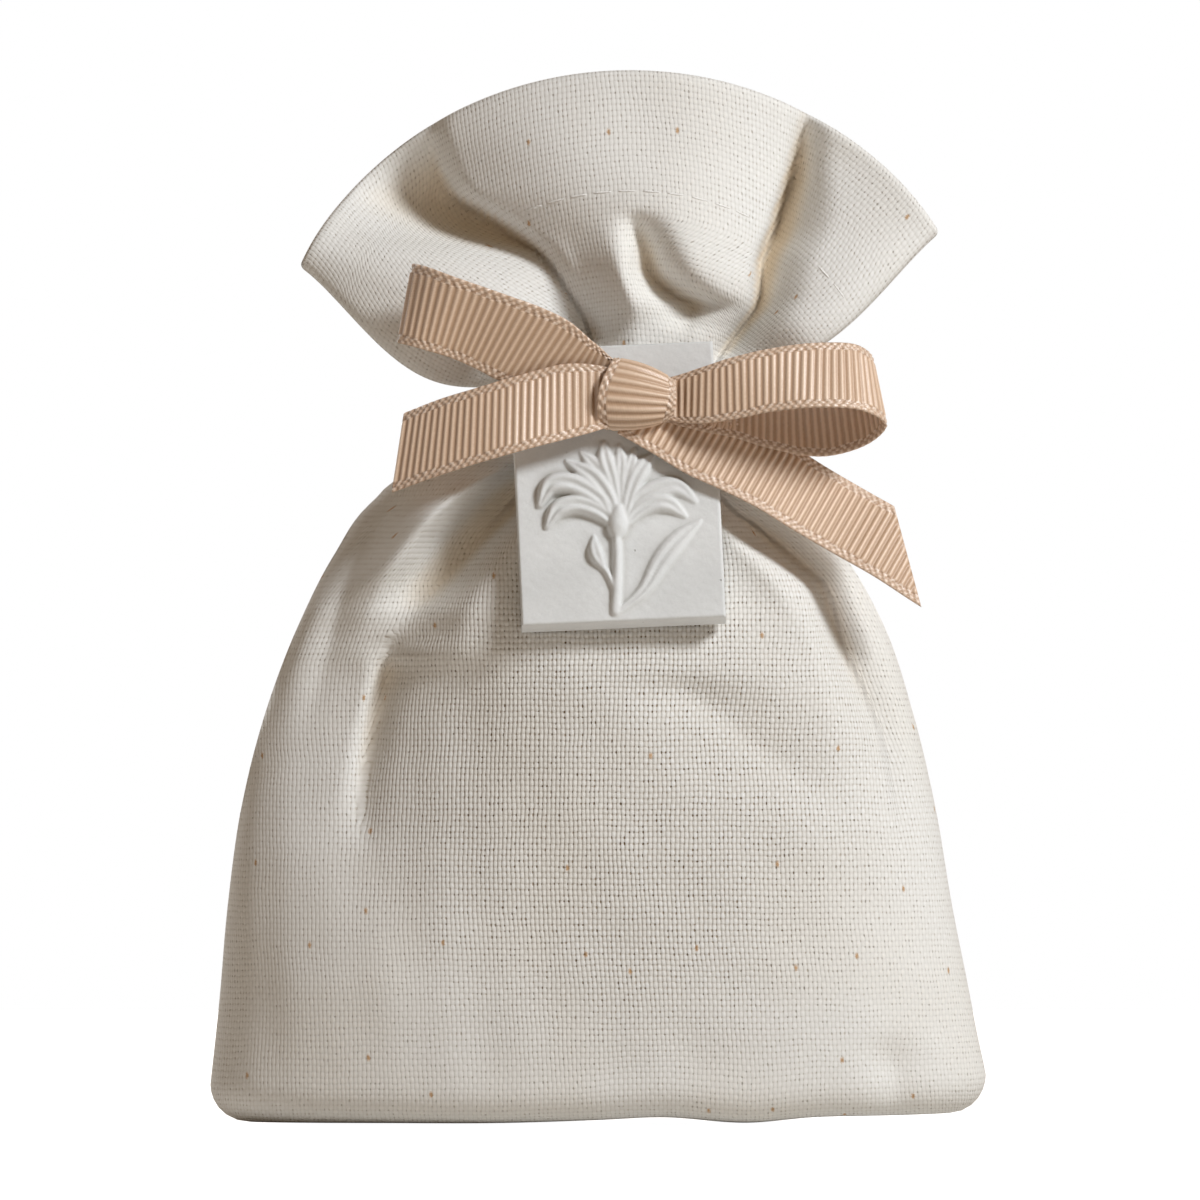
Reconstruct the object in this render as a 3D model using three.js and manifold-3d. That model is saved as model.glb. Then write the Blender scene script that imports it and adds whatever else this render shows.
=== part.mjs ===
// Scented sachet: a canvas bag folded from one cloth and tied at its neck with a grosgrain ribbon bow.
// The ribbon also carries a cast plaster tag, and the bag holds a sealed pouch of scented granules.
// Millimetres, +Z up. The front faces -Y, and the origin is the middle of the flat base.
import * as THREE from "three";
import { mergeVertices } from "three/addons/utils/BufferGeometryUtils.js";
import Module from "manifold-3d";

// Canvas bag: body
const BELLY_LEFT = 52.2; // centre line to the left side at the widest level
const BELLY_RIGHT = 51.7;
const BELLY_DEPTH = 38;
const BASE_WIDTH = 94; // flat area that the filled bag rests on
const BASE_DEPTH = 26;
const BASE_ROLL = 5; // height of the rounded bottom edge
const CLOTH = 0.8;

// Canvas bag: neck and ruffle
const NECK_HEIGHT = 90; // base to the lower edge of the tie
const NECK_WIDTH = 24;
const NECK_DEPTH = 11;
const NECK_SHIFT = 4; // the tie sits right of the centre line
const NECK_SLIT = 1; // passage left between the bunched pleats
const TIE_HEIGHT = 8;
const RUFFLE_HEIGHT = 42.8; // tie to mouth along the middle
const RUFFLE_SEAM = 36.2; // tie to mouth along a side seam
const RUFFLE_SPREAD = 117.4; // degrees fanned out from seam to seam
const RUFFLE_HEADING = 94.2; // degrees from +X to the middle of the fan
const RUFFLE_SAG = { left: 6.3, right: 3.9 }; // drop of the side edges below a straight line
const RUFFLE_SWELL = 5.5; // how far the opened ruffle stands in front of the tie
const RUFFLE_LEAN = 3.5; // how far the mouth leans back from there
const MOUTH_GAP = 2.4;
const HEM_DEPTH = 16; // the cloth is turned in and doubled this far below the mouth

// Ribbon
const RIBBON_THICKNESS = 0.5;
const BAND_MARGIN = 0.6; // the bunched neck band is this much narrower than the tie, at each edge
const STRAND_DIAMETER = 4.4; // ribbon bunched through the hole of the tag
const KNOT_WIDTH = 10.4;
const KNOT_HEIGHT = 10.2;
const KNOT_DEPTH = 7;
const KNOT_SHIFT = 3; // the knot sits right of the tag's hole
const HOLE_SHIFT = 2.2; // the tag's hole sits left of the middle of the tie
const HOLE_RISE = 5.2; // lower edge of the tie to the tag's hole

// Plaster tag
const TAG_WIDTH = 27.2;
const TAG_HEIGHT = 38;
const TAG_THICKNESS = 4;
const TAG_EDGE = 0.35; // worn bevel round the plate
const HOLE_CLEARANCE = 0.9; // round the strand that the tag hangs on
const TAG_HOLE_DROP = 8; // top edge to the middle of the hole
const TAG_ROLL = 2.6; // degrees that the foot of the tag swings to the right
const RELIEF_SINK = 0.6; // how far the flower runs into the plate it is cast with

// Inner pouch and its filling
const POUCH_SIDE_ROOM = 20; // between the pouch and the widest, highest and deepest places of the bag
const POUCH_TOP_ROOM = 16;
const POUCH_FACE_ROOM = 5;
const POUCH_WALL = 0.5;
const POUCH_SEAL = 4; // width of the welded edge

// Clearances
const GAP = 0.3; // between pieces that touch
const TAG_REST = 0.5; // between the tag's back and the cloth it lies on
const BAND_REST = 2.4; // between the neck band and the tag's back

const { lerp, clamp, degToRad, smoothstep } = THREE.MathUtils;
const TIE_TOP = NECK_HEIGHT + TIE_HEIGHT;
const TAG_HOLE = STRAND_DIAMETER + 2 * HOLE_CLEARANCE;
const POUCH_WIDTH = BELLY_LEFT + BELLY_RIGHT - 2 * POUCH_SIDE_ROOM;
const POUCH_HEIGHT = NECK_HEIGHT - POUCH_TOP_ROOM;
const POUCH_DEPTH = BELLY_DEPTH - 2 * POUCH_FACE_ROOM;
const ACROSS = 34; // facets across the front, and across the back
const ROUND = 24; // facets round a hole, a strand or a knot

// A closed solid through rings of points, each with the same even count. A ladder of facets between
// mirrored points closes the first and the last ring, and the faces are turned to point out.
function loft(rings) {
  const count = rings[0].length;
  const corners = rings.flat();
  const triangles = [];
  const quad = (a, b, c, d) => triangles.push([a, b, c], [a, c, d]);
  for (let r = 0; r + 1 < rings.length; r++) {
    for (let i = 0; i < count; i++) {
      const next = (i + 1) % count;
      const low = r * count;
      quad(low + i, low + next, low + count + next, low + count + i);
    }
  }
  for (const [start, turned] of [[0, true], [corners.length - count, false]]) {
    for (let i = 0; i < count / 2; i++) {
      const mirror = start + ((count - i) % count);
      const ladder = [start + i, start + i + 1, start + count - i - 1, mirror];
      quad(...(turned ? ladder.reverse() : ladder));
    }
  }
  const solid = triangles.filter(([a, b, c]) => a !== b && b !== c && a !== c);
  let volume = 0;
  for (const [a, b, c] of solid) volume += corners[a].dot(corners[b].clone().cross(corners[c]));
  if (volume < 0) solid.forEach((triangle) => triangle.reverse());
  const geometry = new THREE.BufferGeometry().setFromPoints(corners);
  geometry.setIndex(solid.flat());
  return geometry;
}

// manifold-3d solids for the joined and pierced tag
const wasm = await Module();
wasm.setup();

function toSolid(geometry) {
  const bare = new THREE.BufferGeometry().setAttribute("position", geometry.getAttribute("position"));
  bare.setIndex(geometry.index);
  const merged = mergeVertices(bare, 1e-4);
  return new wasm.Manifold(
    new wasm.Mesh({
      numProp: 3,
      vertProperties: new Float32Array(merged.attributes.position.array),
      triVerts: new Uint32Array(merged.index.array),
    }),
  );
}

function fromSolid(solid) {
  const { vertProperties, triVerts } = solid.getMesh();
  const geometry = new THREE.BufferGeometry();
  geometry.setAttribute("position", new THREE.BufferAttribute(vertProperties, 3));
  geometry.setIndex(new THREE.BufferAttribute(triVerts, 1));
  return geometry;
}

// Outline of the filled bag from the base roll to the tie. Each row gives a share of the height, then how
// far the left side, the right side and the depth are on their way from the neck's size to the belly's.
const OUTLINE = [
  [BASE_ROLL / NECK_HEIGHT, 1, 1, 0.93],
  [0.18, 0.973, 0.944, 1],
  [0.32, 0.948, 0.874, 1],
  [0.47, 0.905, 0.81, 0.956],
  [0.61, 0.833, 0.725, 0.852],
  [0.745, 0.728, 0.611, 0.704],
  [0.845, 0.624, 0.465, 0.533],
  [0.922, 0.493, 0.297, 0.333],
  [0.967, 0.271, 0.168, 0.156],
  [1, 0, 0, 0],
];
const outline = new THREE.CubicInterpolant(
  OUTLINE.map((row) => row[0]),
  OUTLINE.flatMap((row) => row.slice(1)),
  3,
);
const NECK_LEFT = NECK_WIDTH / 2 - NECK_SHIFT;
const NECK_RIGHT = NECK_WIDTH / 2 + NECK_SHIFT;

// Extents of the bag's outside at a level up to the top of the tie. bunch grows from 0 in the belly to 1
// in the tie, where the cloth is gathered to a flat bundle with hardly a passage in it.
const GATHER_START = 0.86; // share of the height where the cloth starts to bunch up
function level(z) {
  const [left, right, depth] = outline.evaluate(clamp(z, BASE_ROLL, NECK_HEIGHT) / NECK_HEIGHT);
  const roll = Math.sqrt(1 - (1 - Math.min(z / BASE_ROLL, 1)) ** 2);
  return {
    left: lerp(BASE_WIDTH / 2, lerp(NECK_LEFT, BELLY_LEFT, left), roll),
    right: lerp(BASE_WIDTH / 2, lerp(NECK_RIGHT, BELLY_RIGHT, right), roll),
    depth: lerp(BASE_DEPTH / 2, lerp(NECK_DEPTH, BELLY_DEPTH, depth) / 2, roll),
    bunch: smoothstep(z, GATHER_START * NECK_HEIGHT, NECK_HEIGHT),
  };
}

// Cross-section of the bag: an ellipse at the belly, drawn flat towards the tie.
const ELLIPSE = 2;
const FLAT_BUNDLE = 8;
function section(across, bunch) {
  return Math.sqrt(1 - Math.abs(across) ** lerp(ELLIPSE, FLAT_BUNDLE, bunch));
}

// How far the cloth stands forward of the middle plane at a point of the front.
function frontDepth(x, z) {
  const { left, right, depth, bunch } = level(z);
  return depth * section(clamp((2 * x + left - right) / (left + right), -1, 1), bunch);
}

// Folds that the tie draws into the cloth. Each row gives a height, the fold's place across the front
// there, its depth, and how far its flanks run out to the left and to the right.
const BELLY_FOLDS = [
  // left groove, beside the middle swell
  [
    [19, -28, 0, 14, 36],
    [27, -28.7, 1.3, 14, 36],
    [40.5, -31.3, 5, 10, 36],
    [51.5, -31, 8, 8, 36],
    [60, -28.6, 8, 9, 28],
    [68, -23, 7, 13, 15],
    [79.2, -16, 8, 15, 8],
    [87.2, -11.2, 3, 9, 6],
  ],
  // shallow groove outside the left swell
  [
    [52, -39.5, 0, 7, 9],
    [65.5, -35.4, 2.6, 7, 9],
    [77.5, -30, 3.6, 8, 9],
    [85.9, -19.3, 1, 10, 12],
  ],
  // right groove, overhung by the middle swell
  [
    [33, 41, 0, 11, 11],
    [44.5, 38.7, 1.8, 9, 10],
    [58.5, 34.7, 5, 5, 11],
    [69, 31, 6.8, 4, 11],
    [74.8, 26.8, 6.2, 4, 10],
    [84.5, 15, 1.5, 5, 9],
  ],
].map(foldLine);
const RUFFLE_FOLDS = [
  // left groove, between the left flap and the middle swell
  [
    [104, -1.2, 4, 15, 6],
    [111.5, -4.7, 7.5, 22, 11],
    [116.5, -9.1, 10, 34, 20],
    [121.5, -15.1, 12, 46, 28],
    [127.2, -21.9, 12, 50, 28],
    [138, -22.8, 10, 45, 24],
  ],
  // right groove
  [
    [104, 19.3, 3, 7, 10],
    [113.5, 22, 8, 12, 18],
    [120.7, 26, 10, 17, 26],
    [128.7, 28.5, 10, 18, 26],
    [138, 27.5, 8, 18, 26],
  ],
  // hollow right of the middle, under the swelling cloth
  [
    [106, 10, 0, 4, 9],
    [109.5, 10, 5, 4, 11],
    [111.5, 8, 6, 4, 12],
    [115.2, 5.3, 5, 4, 11],
    [121, 4.7, 1, 4, 9],
  ],
].map(foldLine);

function foldLine(rows) {
  const heights = rows.map((row) => row[0]);
  return new THREE.LinearInterpolant(heights, rows.flatMap((row) => row.slice(1)), 4);
}

function foldDepth(folds, x, z) {
  let total = 0;
  for (const fold of folds) {
    const [middle, depth, left, right] = fold.evaluate(z);
    const flank = x < middle ? left : right;
    total += depth * Math.max(0, 1 - Math.abs(x - middle) / flank) ** 2;
  }
  return total;
}

// A point of the bag's body. s is the place across, from -1 at the left seam to 1 at the right one, and
// face is -1 for the front and 1 for the back. Folds run out just before the seams.
const SEAM_FADE = 8;
function bodyPoint(s, face, z, inside) {
  const { left, right, depth, bunch } = level(z);
  const wall = inside ? lerp(CLOTH, 2 * CLOTH, bunch) : 0;
  const half = inside ? lerp(depth - CLOTH, NECK_SLIT / 2, bunch) : depth;
  const across = lerp(Math.sin((s * Math.PI) / 2), s, bunch);
  const x = (right - left) / 2 + across * ((left + right) / 2 - wall);
  const folded = face < 0 ? foldDepth(BELLY_FOLDS, x, z) * (1 - s ** SEAM_FADE) * (1 - bunch) : 0;
  return new THREE.Vector3(x, face * half * section(across, bunch) + folded, z);
}

// A point of the ruffle, with t from 0 at the tie to 1 at the mouth.
const HEM_START = 1 - HEM_DEPTH / RUFFLE_HEIGHT;
const HEM_STEP = 0.02;
const SEAM_INSET = 0.03; // share of the width that the side seams take up inside
const OPENED = 0.45; // share of the ruffle that it takes the bundle to open out
const FOLDS_FULL = 0.2; // share of the ruffle where its folds have their full depth
const SWELL_START = 0.16; // share of the ruffle where it starts to swell forward, above the tag
function rufflePoint(s, face, t, inside) {
  const place = inside ? s * (1 - SEAM_INSET) : s;
  const heading = degToRad(RUFFLE_HEADING - (place * RUFFLE_SPREAD) / 2);
  const reach = t * lerp(RUFFLE_HEIGHT, RUFFLE_SEAM, place * place);
  const sag = (place < 0 ? RUFFLE_SAG.left : RUFFLE_SAG.right) * Math.abs(place) ** 3;
  const open = smoothstep(t, 0, OPENED);
  const outer = lerp(NECK_DEPTH / 2, MOUTH_GAP / 2 + 2 * CLOTH, open);
  const bunched = lerp((NECK_DEPTH - NECK_SLIT) / 2, CLOTH, open);
  const hem = CLOTH * smoothstep(t, HEM_START - HEM_STEP, HEM_START + HEM_STEP);
  const half = inside ? outer - bunched - hem : outer;
  const x = NECK_SHIFT + (place * NECK_WIDTH) / 2 + reach * Math.cos(heading);
  const z = TIE_TOP + reach * Math.sin(heading) - sag * Math.sin(Math.PI * t) ** 1.5;
  const forward = RUFFLE_SWELL * smoothstep(t, SWELL_START, OPENED) - RUFFLE_LEAN * smoothstep(t, OPENED, 1);
  const folded = foldDepth(RUFFLE_FOLDS, x, z) * smoothstep(t, 0, FOLDS_FULL);
  return new THREE.Vector3(x, folded - forward + face * half * section(s, 1), z);
}

function ring(place) {
  const points = [];
  for (let i = 0; i <= ACROSS; i++) points.push(place((2 * i) / ACROSS - 1, -1));
  for (let i = ACROSS - 1; i > 0; i--) points.push(place((2 * i) / ACROSS - 1, 1));
  return points;
}

// Shares of the base roll, of the height and of the ruffle where the cloth has a ring of facets
const ROLL_RINGS = [0, 0.12, 0.4, 1];
const BODY_RINGS = [
  0.12, 0.2, 0.28, 0.36, 0.44, 0.52, 0.6, 0.67, 0.74, 0.8, 0.85, 0.89, 0.925, 0.95, 0.975, 1,
];
const RUFFLE_RINGS = [0, 0.1, 0.22, 0.34, 0.46, HEM_START - HEM_STEP, HEM_START + HEM_STEP, 0.76, 0.88, 1];

function makeBag() {
  const roll = ROLL_RINGS.map((share) => share * BASE_ROLL);
  const heights = [...roll, ...BODY_RINGS.map((share) => share * NECK_HEIGHT)];
  const skin = (inside) => [
    ...heights
      .slice(inside ? 1 : 0)
      .map((z) => ring((s, face) => bodyPoint(s, face, inside ? Math.max(z, CLOTH) : z, inside))),
    ...RUFFLE_RINGS.map((t) => ring((s, face) => rufflePoint(s, face, t, inside))),
  ];
  return loft([...skin(false), ...skin(true).reverse()]);
}

// Inner pouch: two webs of non-woven cloth, each a shallow bowl, welded round the edge. A revolved
// profile is drawn out to the pouch's width and height, and squared up a little.
function squareUp(geometry, width, height) {
  const at = geometry.getAttribute("position");
  for (let i = 0; i < at.count; i++) {
    const angle = Math.atan2(at.getZ(i), at.getX(i));
    const radius = Math.hypot(at.getX(i), at.getZ(i));
    const square = (Math.abs(Math.cos(angle)) ** 3 + Math.abs(Math.sin(angle)) ** 3) ** (-1 / 3);
    const x = (radius * square * Math.cos(angle) * width) / 2;
    const z = (radius * square * Math.sin(angle) * height) / 2;
    at.setXYZ(i, x, at.getY(i), z);
  }
  return geometry;
}

const POUCH_MIDDLE = CLOTH + GAP + POUCH_HEIGHT / 2;
const SEAL_SHARE = 1 - (2 * POUCH_SEAL) / POUCH_HEIGHT;
const BOWL = [1, 0.9, 0.75, 0.55, 0.3, 0];
const bulge = (share) => (1 - share * share) ** 0.7;

function makePouchWeb() {
  const outer = POUCH_DEPTH / 2;
  const bowl = (share) => new THREE.Vector2(share * SEAL_SHARE, outer * bulge(share) + POUCH_WALL);
  const profile = BOWL.map(bowl).reverse();
  profile.push(new THREE.Vector2(1, POUCH_WALL), new THREE.Vector2(1, GAP / 2));
  for (const share of BOWL) {
    const radius = share * SEAL_SHARE * (1 - (2 * POUCH_WALL) / POUCH_HEIGHT);
    profile.push(new THREE.Vector2(radius, Math.max(outer * bulge(share), GAP / 2)));
  }
  const web = new THREE.LatheGeometry(profile.reverse(), ROUND);
  return squareUp(web, POUCH_WIDTH, POUCH_HEIGHT);
}

function makeGranules() {
  const half = POUCH_DEPTH / 2 - GAP;
  const shares = BOWL.toReversed();
  const inset = SEAL_SHARE * (1 - (4 * POUCH_WALL) / POUCH_HEIGHT);
  const lower = shares.map((share) => new THREE.Vector2(share * inset, -half * bulge(share)));
  const upper = shares.slice(0, -1).map((share) => new THREE.Vector2(share * inset, half * bulge(share)));
  const filling = new THREE.LatheGeometry([...lower, ...upper.reverse()], ROUND);
  return squareUp(filling, POUCH_WIDTH, POUCH_HEIGHT);
}

// Ribbon round the neck, bunched a little narrower than the tie
function makeNeckBand() {
  const oval = (spare) =>
    ring((s, face) => {
      const x = NECK_SHIFT + s * (NECK_WIDTH / 2 + spare);
      return new THREE.Vector3(x, face * (NECK_DEPTH / 2 + spare) * section(s, 1), 0);
    }).map((point) => new THREE.Vector2(point.x, point.y));
  const band = new THREE.Shape(oval(GAP + RIBBON_THICKNESS));
  band.holes.push(new THREE.Path(oval(GAP)));
  const depth = TIE_HEIGHT - 2 * BAND_MARGIN;
  return new THREE.ExtrudeGeometry(band, { depth, bevelEnabled: false });
}

// The tag hangs from the ribbon at its hole and leans its foot on the belly: the lean is the least that
// keeps its back clear of the cloth.
const HOLE_HEIGHT = NECK_HEIGHT + HOLE_RISE;
const HOLE_DEPTH = NECK_DEPTH / 2 + GAP + RIBBON_THICKNESS + BAND_REST;
const TAG_LENGTH = TAG_HEIGHT - TAG_HOLE_DROP;
const TAG_FEELERS = [0.3, 0.4, 0.5, 0.6, 0.7, 0.8, 0.9]; // places down the tag that feel for the cloth
const TAG_LEAN = (() => {
  let lean = 0;
  for (let pass = 0; pass < 4; pass++) {
    const steep = lean;
    for (const share of TAG_FEELERS) {
      const along = share * TAG_LENGTH;
      const cloth = frontDepth(0, HOLE_HEIGHT - along * Math.cos(steep)) + TAG_REST - HOLE_DEPTH;
      lean = Math.max(lean, Math.asin(clamp(cloth / along, 0, 1)));
    }
  }
  return lean;
})();
const hole = new THREE.Vector3(NECK_SHIFT - HOLE_SHIFT, -HOLE_DEPTH, HOLE_HEIGHT);
const facing = new THREE.Vector3(0, -Math.cos(TAG_LEAN), Math.sin(TAG_LEAN));

// Strand of ribbon that joins the neck band to the knot through the tag's hole
const STRAND_BACK = BAND_REST - GAP - (STRAND_DIAMETER / 2) * Math.sin(TAG_LEAN);
function makeStrand() {
  const length = TAG_THICKNESS + STRAND_BACK;
  const strand = new THREE.CylinderGeometry(STRAND_DIAMETER / 2, STRAND_DIAMETER / 2, length, ROUND);
  return strand.translate(0, length / 2 - STRAND_BACK, 0);
}

// The knot is one turn of ribbon, drawn in where it grips the loops. Its rings run along X.
const knot = hole
  .clone()
  .addScaledVector(facing, TAG_THICKNESS + GAP + KNOT_DEPTH / 2)
  .add(new THREE.Vector3(KNOT_SHIFT, 0, 0));
const WAIST = [
  [-1, 0.62], // share of the half width, share of the full girth
  [-0.93, 0.82],
  [-0.7, 0.95],
  [-0.2, 1],
  [0.4, 0.97],
  [0.8, 0.9],
  [0.95, 0.78],
  [1, 0.6],
];
function makeKnot() {
  const rings = WAIST.map(([along, swell]) => {
    const points = [];
    for (let i = 0; i < ROUND; i++) {
      const angle = (2 * Math.PI * i) / ROUND;
      const soften = (Math.cos(angle) ** 4 + Math.sin(angle) ** 4) ** (-1 / 4) * swell;
      const y = (Math.cos(angle) * soften * KNOT_DEPTH) / 2;
      const z = (Math.sin(angle) * soften * KNOT_HEIGHT) / 2;
      points.push(new THREE.Vector3((along * KNOT_WIDTH) / 2, y, z));
    }
    return points;
  });
  return loft(rings);
}

// A free stretch of ribbon. Each row of its route gives a point of the upper edge and the point of the
// lower edge across from it, both taken from the middle of the knot.
const RIBBON_STEPS = 4; // rings of facets from row to row
function makeRibbon(route) {
  const [top, bottom] = [0, 1].map(
    (edge) => new THREE.CatmullRomCurve3(route.map((row) => new THREE.Vector3(...row[edge]))),
  );
  const steps = RIBBON_STEPS * (route.length - 1);
  const rings = [];
  for (let i = 0; i <= steps; i++) {
    const high = top.getPoint(i / steps);
    const low = bottom.getPoint(i / steps);
    const along = top.getTangent(i / steps).add(bottom.getTangent(i / steps));
    const half = along.cross(high.clone().sub(low)).setLength(RIBBON_THICKNESS / 2);
    rings.push([
      high.clone().add(half),
      high.clone().sub(half),
      low.clone().sub(half),
      low.clone().add(half),
    ]);
  }
  return loft(rings);
}

const KNOT_SIDE = KNOT_WIDTH / 2 + GAP;
const KNOT_FOOT = KNOT_HEIGHT / 2 + GAP;

// The right loop stands out towards the viewer, tipped so that it shows its inside from below.
const RIGHT_LOOP = [
  [[KNOT_SIDE, 0.4, 2.7], [KNOT_SIDE, -1.2, -3.5]],
  [[8.9, -1.2, 3.8], [8.7, -3.1, -3.7]],
  [[12.6, -2.4, 5], [12.8, -4.9, -3.2]],
  [[17.7, -3.2, 6.2], [17.7, -6.6, -2.2]],
  [[24.6, -3.4, 7], [24.4, -7.9, -1.6]],
  [[29.4, -2.2, 6.7], [30, -7, -2]],
  [[31.4, 1.4, 4.9], [33.2, -3.4, -3.9]],
  [[29.9, 5, 2.6], [31.2, 0, -6.2]],
  [[24.6, 6.4, 0.6], [25.4, 1.6, -8]],
  [[17.9, 5.4, 1.4], [17.9, 1.4, -7]],
  [[13, 3.9, 2.2], [12.8, 0.7, -5.5]],
  [[9, 2.7, 2.4], [8.7, 0.3, -4.7]],
  [[KNOT_SIDE, 1.8, 2.4], [KNOT_SIDE, 0.2, -3.9]],
];

// The left loop lies flat, one layer over the other, behind the left tail.
const LEFT_LOOP = [
  [[-KNOT_SIDE, -0.6, 6.4], [-KNOT_SIDE, 0.6, 1.6]],
  [[-9.6, -2, 10.1], [-9.4, 0.6, 1]],
  [[-14, -3, 12.3], [-13.6, 0.6, 1.2]],
  [[-18.5, -3.4, 13.8], [-19, 0.9, 2.6]],
  [[-23.5, -3.2, 15.6], [-25, -0.8, 5.2]],
  [[-28, -1.8, 17.1], [-29.8, -0.4, 6.6]],
  [[-29.5, 0.6, 17.5], [-31.6, 1.2, 7.1]],
  [[-28, 2.6, 17], [-29.9, 2.9, 6.7]],
  [[-23.5, 3.6, 15.5], [-25, 3.3, 5.3]],
  [[-18.5, 3.4, 13.6], [-19, 3, 2.8]],
  [[-14, 2.9, 11.8], [-13.6, 2.7, 1.5]],
  [[-9.6, 2.5, 9.4], [-9.4, 2.4, 1.3]],
  [[-KNOT_SIDE, 2.3, 6], [-KNOT_SIDE, 2.1, 1.9]],
];

// The left tail crosses the tag and lies back over the shoulder of the bag.
const LEFT_TAIL = [
  [[-KNOT_SIDE, -1.2, 4.1], [-KNOT_SIDE, -2.2, -4.8]],
  [[-9.6, -1.7, 4.2], [-9.6, -3.4, -5.9]],
  [[-13, -1.4, 3.4], [-13.2, -3.9, -6.8]],
  [[-17, -0.7, 2.3], [-17.2, -3.7, -7.9]],
  [[-21, 0.5, 1.1], [-21.4, -2.5, -9.1]],
  [[-26, 2.6, -0.4], [-27, -0.2, -10.9]],
  [[-31, 5.2, -2.3], [-32.6, 2.6, -12.9]],
];

// The right tail comes out under the knot and passes behind the right loop to a slanted cut.
const RIGHT_TAIL = [
  [[5.6, 0.9, -KNOT_FOOT], [-1.5, -1.2, -KNOT_FOOT - 0.6]],
  [[8.9, 0.9, -5.9], [2.6, -1.8, -7.9]],
  [[13.2, 1.6, -6.6], [7, -2.3, -10.5]],
  [[18, 2.9, -7.2], [12.4, -2.3, -13.1]],
  [[23.6, 3.6, -8.5], [19.4, -1, -16.9]],
  [[29, 4, -11.5], [28, 0.9, -22]],
  [[34.6, 4.4, -15], [38, 2.4, -27.8]],
];

// Plaster tag. Its own frame has the hole's middle at the origin, the back in the plane y = 0 and the
// front towards -y. Each raised stroke of the flower follows points (across, up) with a width and a
// height at each point.
function makeStroke(points, widths, heights) {
  const path = new THREE.SplineCurve(points.map(([x, z]) => new THREE.Vector2(x, z)));
  const share = new THREE.SplineCurve(widths.map((width, i) => new THREE.Vector2(width, heights[i])));
  const steps = 2 * (points.length - 1) + 2;
  const rings = [];
  for (let i = 0; i <= steps; i++) {
    const middle = path.getPoint(i / steps);
    const along = path.getTangent(i / steps);
    const size = share.getPoint(i / steps);
    const arch = [];
    for (let k = 0; k <= 6; k++) {
      const angle = (Math.PI * k) / 6;
      const side = (size.x / 2) * Math.cos(angle);
      const rise = size.y * Math.sin(angle);
      const x = middle.x - along.y * side;
      const z = middle.y + along.x * side;
      arch.push(new THREE.Vector3(x, -TAG_THICKNESS - rise, z));
    }
    arch.push(new THREE.Vector3(middle.x, RELIEF_SINK - TAG_THICKNESS, middle.y));
    rings.push(arch);
  }
  return loft(rings);
}

// A lily with strap petals, a bud and a leaf. Every stroke grows from the cup of the bloom and gives its
// points from there, then its width and its height at each point.
const BLOOM_DROP = 17.2; // hole to the cup
const STROKES = [
  // left petals, curling over
  {
    at: [[-0.6, 1], [-2.2, 3.6], [-5.8, 6], [-8.8, 6.1], [-10.4, 3.6]],
    wide: [1.4, 2, 2.4, 2.3, 0.9],
    high: [1, 1.6, 2, 2, 1],
  },
  {
    at: [[-0.7, 0.4], [-2.6, 2.2], [-5.4, 3.3], [-8, 2.8], [-9.6, 0.6]],
    wide: [1.2, 1.8, 2.1, 2, 0.8],
    high: [1, 1.5, 1.8, 1.8, 1],
  },
  // upright petals, from left to right
  {
    at: [[-0.4, 0.6], [-1.4, 4], [-3.4, 7], [-6.6, 9.4]],
    wide: [1.6, 2.2, 2.2, 0.7],
    high: [1.2, 1.6, 1.5, 0.8],
  },
  {
    at: [[-0.2, 1.6], [-1.7, 6.2], [-3, 8.6], [-4.6, 10.5]],
    wide: [1, 1.5, 1.7, 0.7],
    high: [0.9, 1.2, 1.2, 0.7],
  },
  {
    at: [[0, 2], [-0.6, 6], [-1.4, 9.2], [-1.6, 11.6]],
    wide: [1, 1.6, 2, 0.8],
    high: [0.9, 1.2, 1.3, 0.8],
  },
  {
    at: [[0.3, 2], [0.4, 6.4], [0.6, 8.8], [0.5, 11.2]],
    wide: [0.9, 1.2, 1.5, 0.7],
    high: [0.8, 1, 1, 0.6],
  },
  {
    at: [[0.5, 2], [1.2, 6.2], [1.9, 8.6], [2.6, 10.6]],
    wide: [0.9, 1.2, 1.5, 0.7],
    high: [0.8, 0.9, 0.9, 0.5],
  },
  {
    at: [[0.7, 1.2], [1.8, 5], [3.2, 7.8], [5.2, 10]],
    wide: [1.2, 1.8, 2, 0.7],
    high: [1, 1.1, 1, 0.6],
  },
  // right petals, lower and flatter
  {
    at: [[0.8, 0.8], [2.6, 3.6], [5.2, 5], [8, 5.2], [10.2, 3.2]],
    wide: [1.2, 1.8, 2.2, 2, 0.8],
    high: [1, 1, 1, 0.9, 0.5],
  },
  {
    at: [[0.7, 0.2], [2.6, 2], [4.8, 3], [6.8, 2.8], [8.8, 1.2]],
    wide: [1.1, 1.6, 2, 1.8, 0.7],
    high: [0.9, 1.1, 1.3, 1.2, 0.6],
  },
  // cup and stem
  {
    at: [[0, 2.6], [-0.2, 0.4], [-0.4, -1.4]],
    wide: [1.6, 3, 1.3],
    high: [1.4, 1.8, 1.1],
  },
  {
    at: [[-0.4, -1], [-0.5, -5.4], [-1, -11.4]],
    wide: [1.3, 1.4, 1.5],
    high: [1.1, 1, 0.7],
  },
  // bud on its stalk
  {
    at: [[-0.9, -9], [-1.8, -6.4], [-2.6, -5.2]],
    wide: [0.8, 0.8, 0.9],
    high: [0.6, 0.7, 0.7],
  },
  {
    at: [[-2.4, -5.4], [-3.3, -3.4], [-3.5, -1.2]],
    wide: [0.9, 2, 0.7],
    high: [0.7, 1.3, 0.7],
  },
  // leaf
  {
    at: [[-0.4, -11.4], [2.8, -8.8], [5.4, -4.8], [8, -1.8], [10.8, 0.4]],
    wide: [1, 1.6, 2.6, 2.4, 0.6],
    high: [0.6, 0.9, 0.9, 0.7, 0.3],
  },
];

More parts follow.
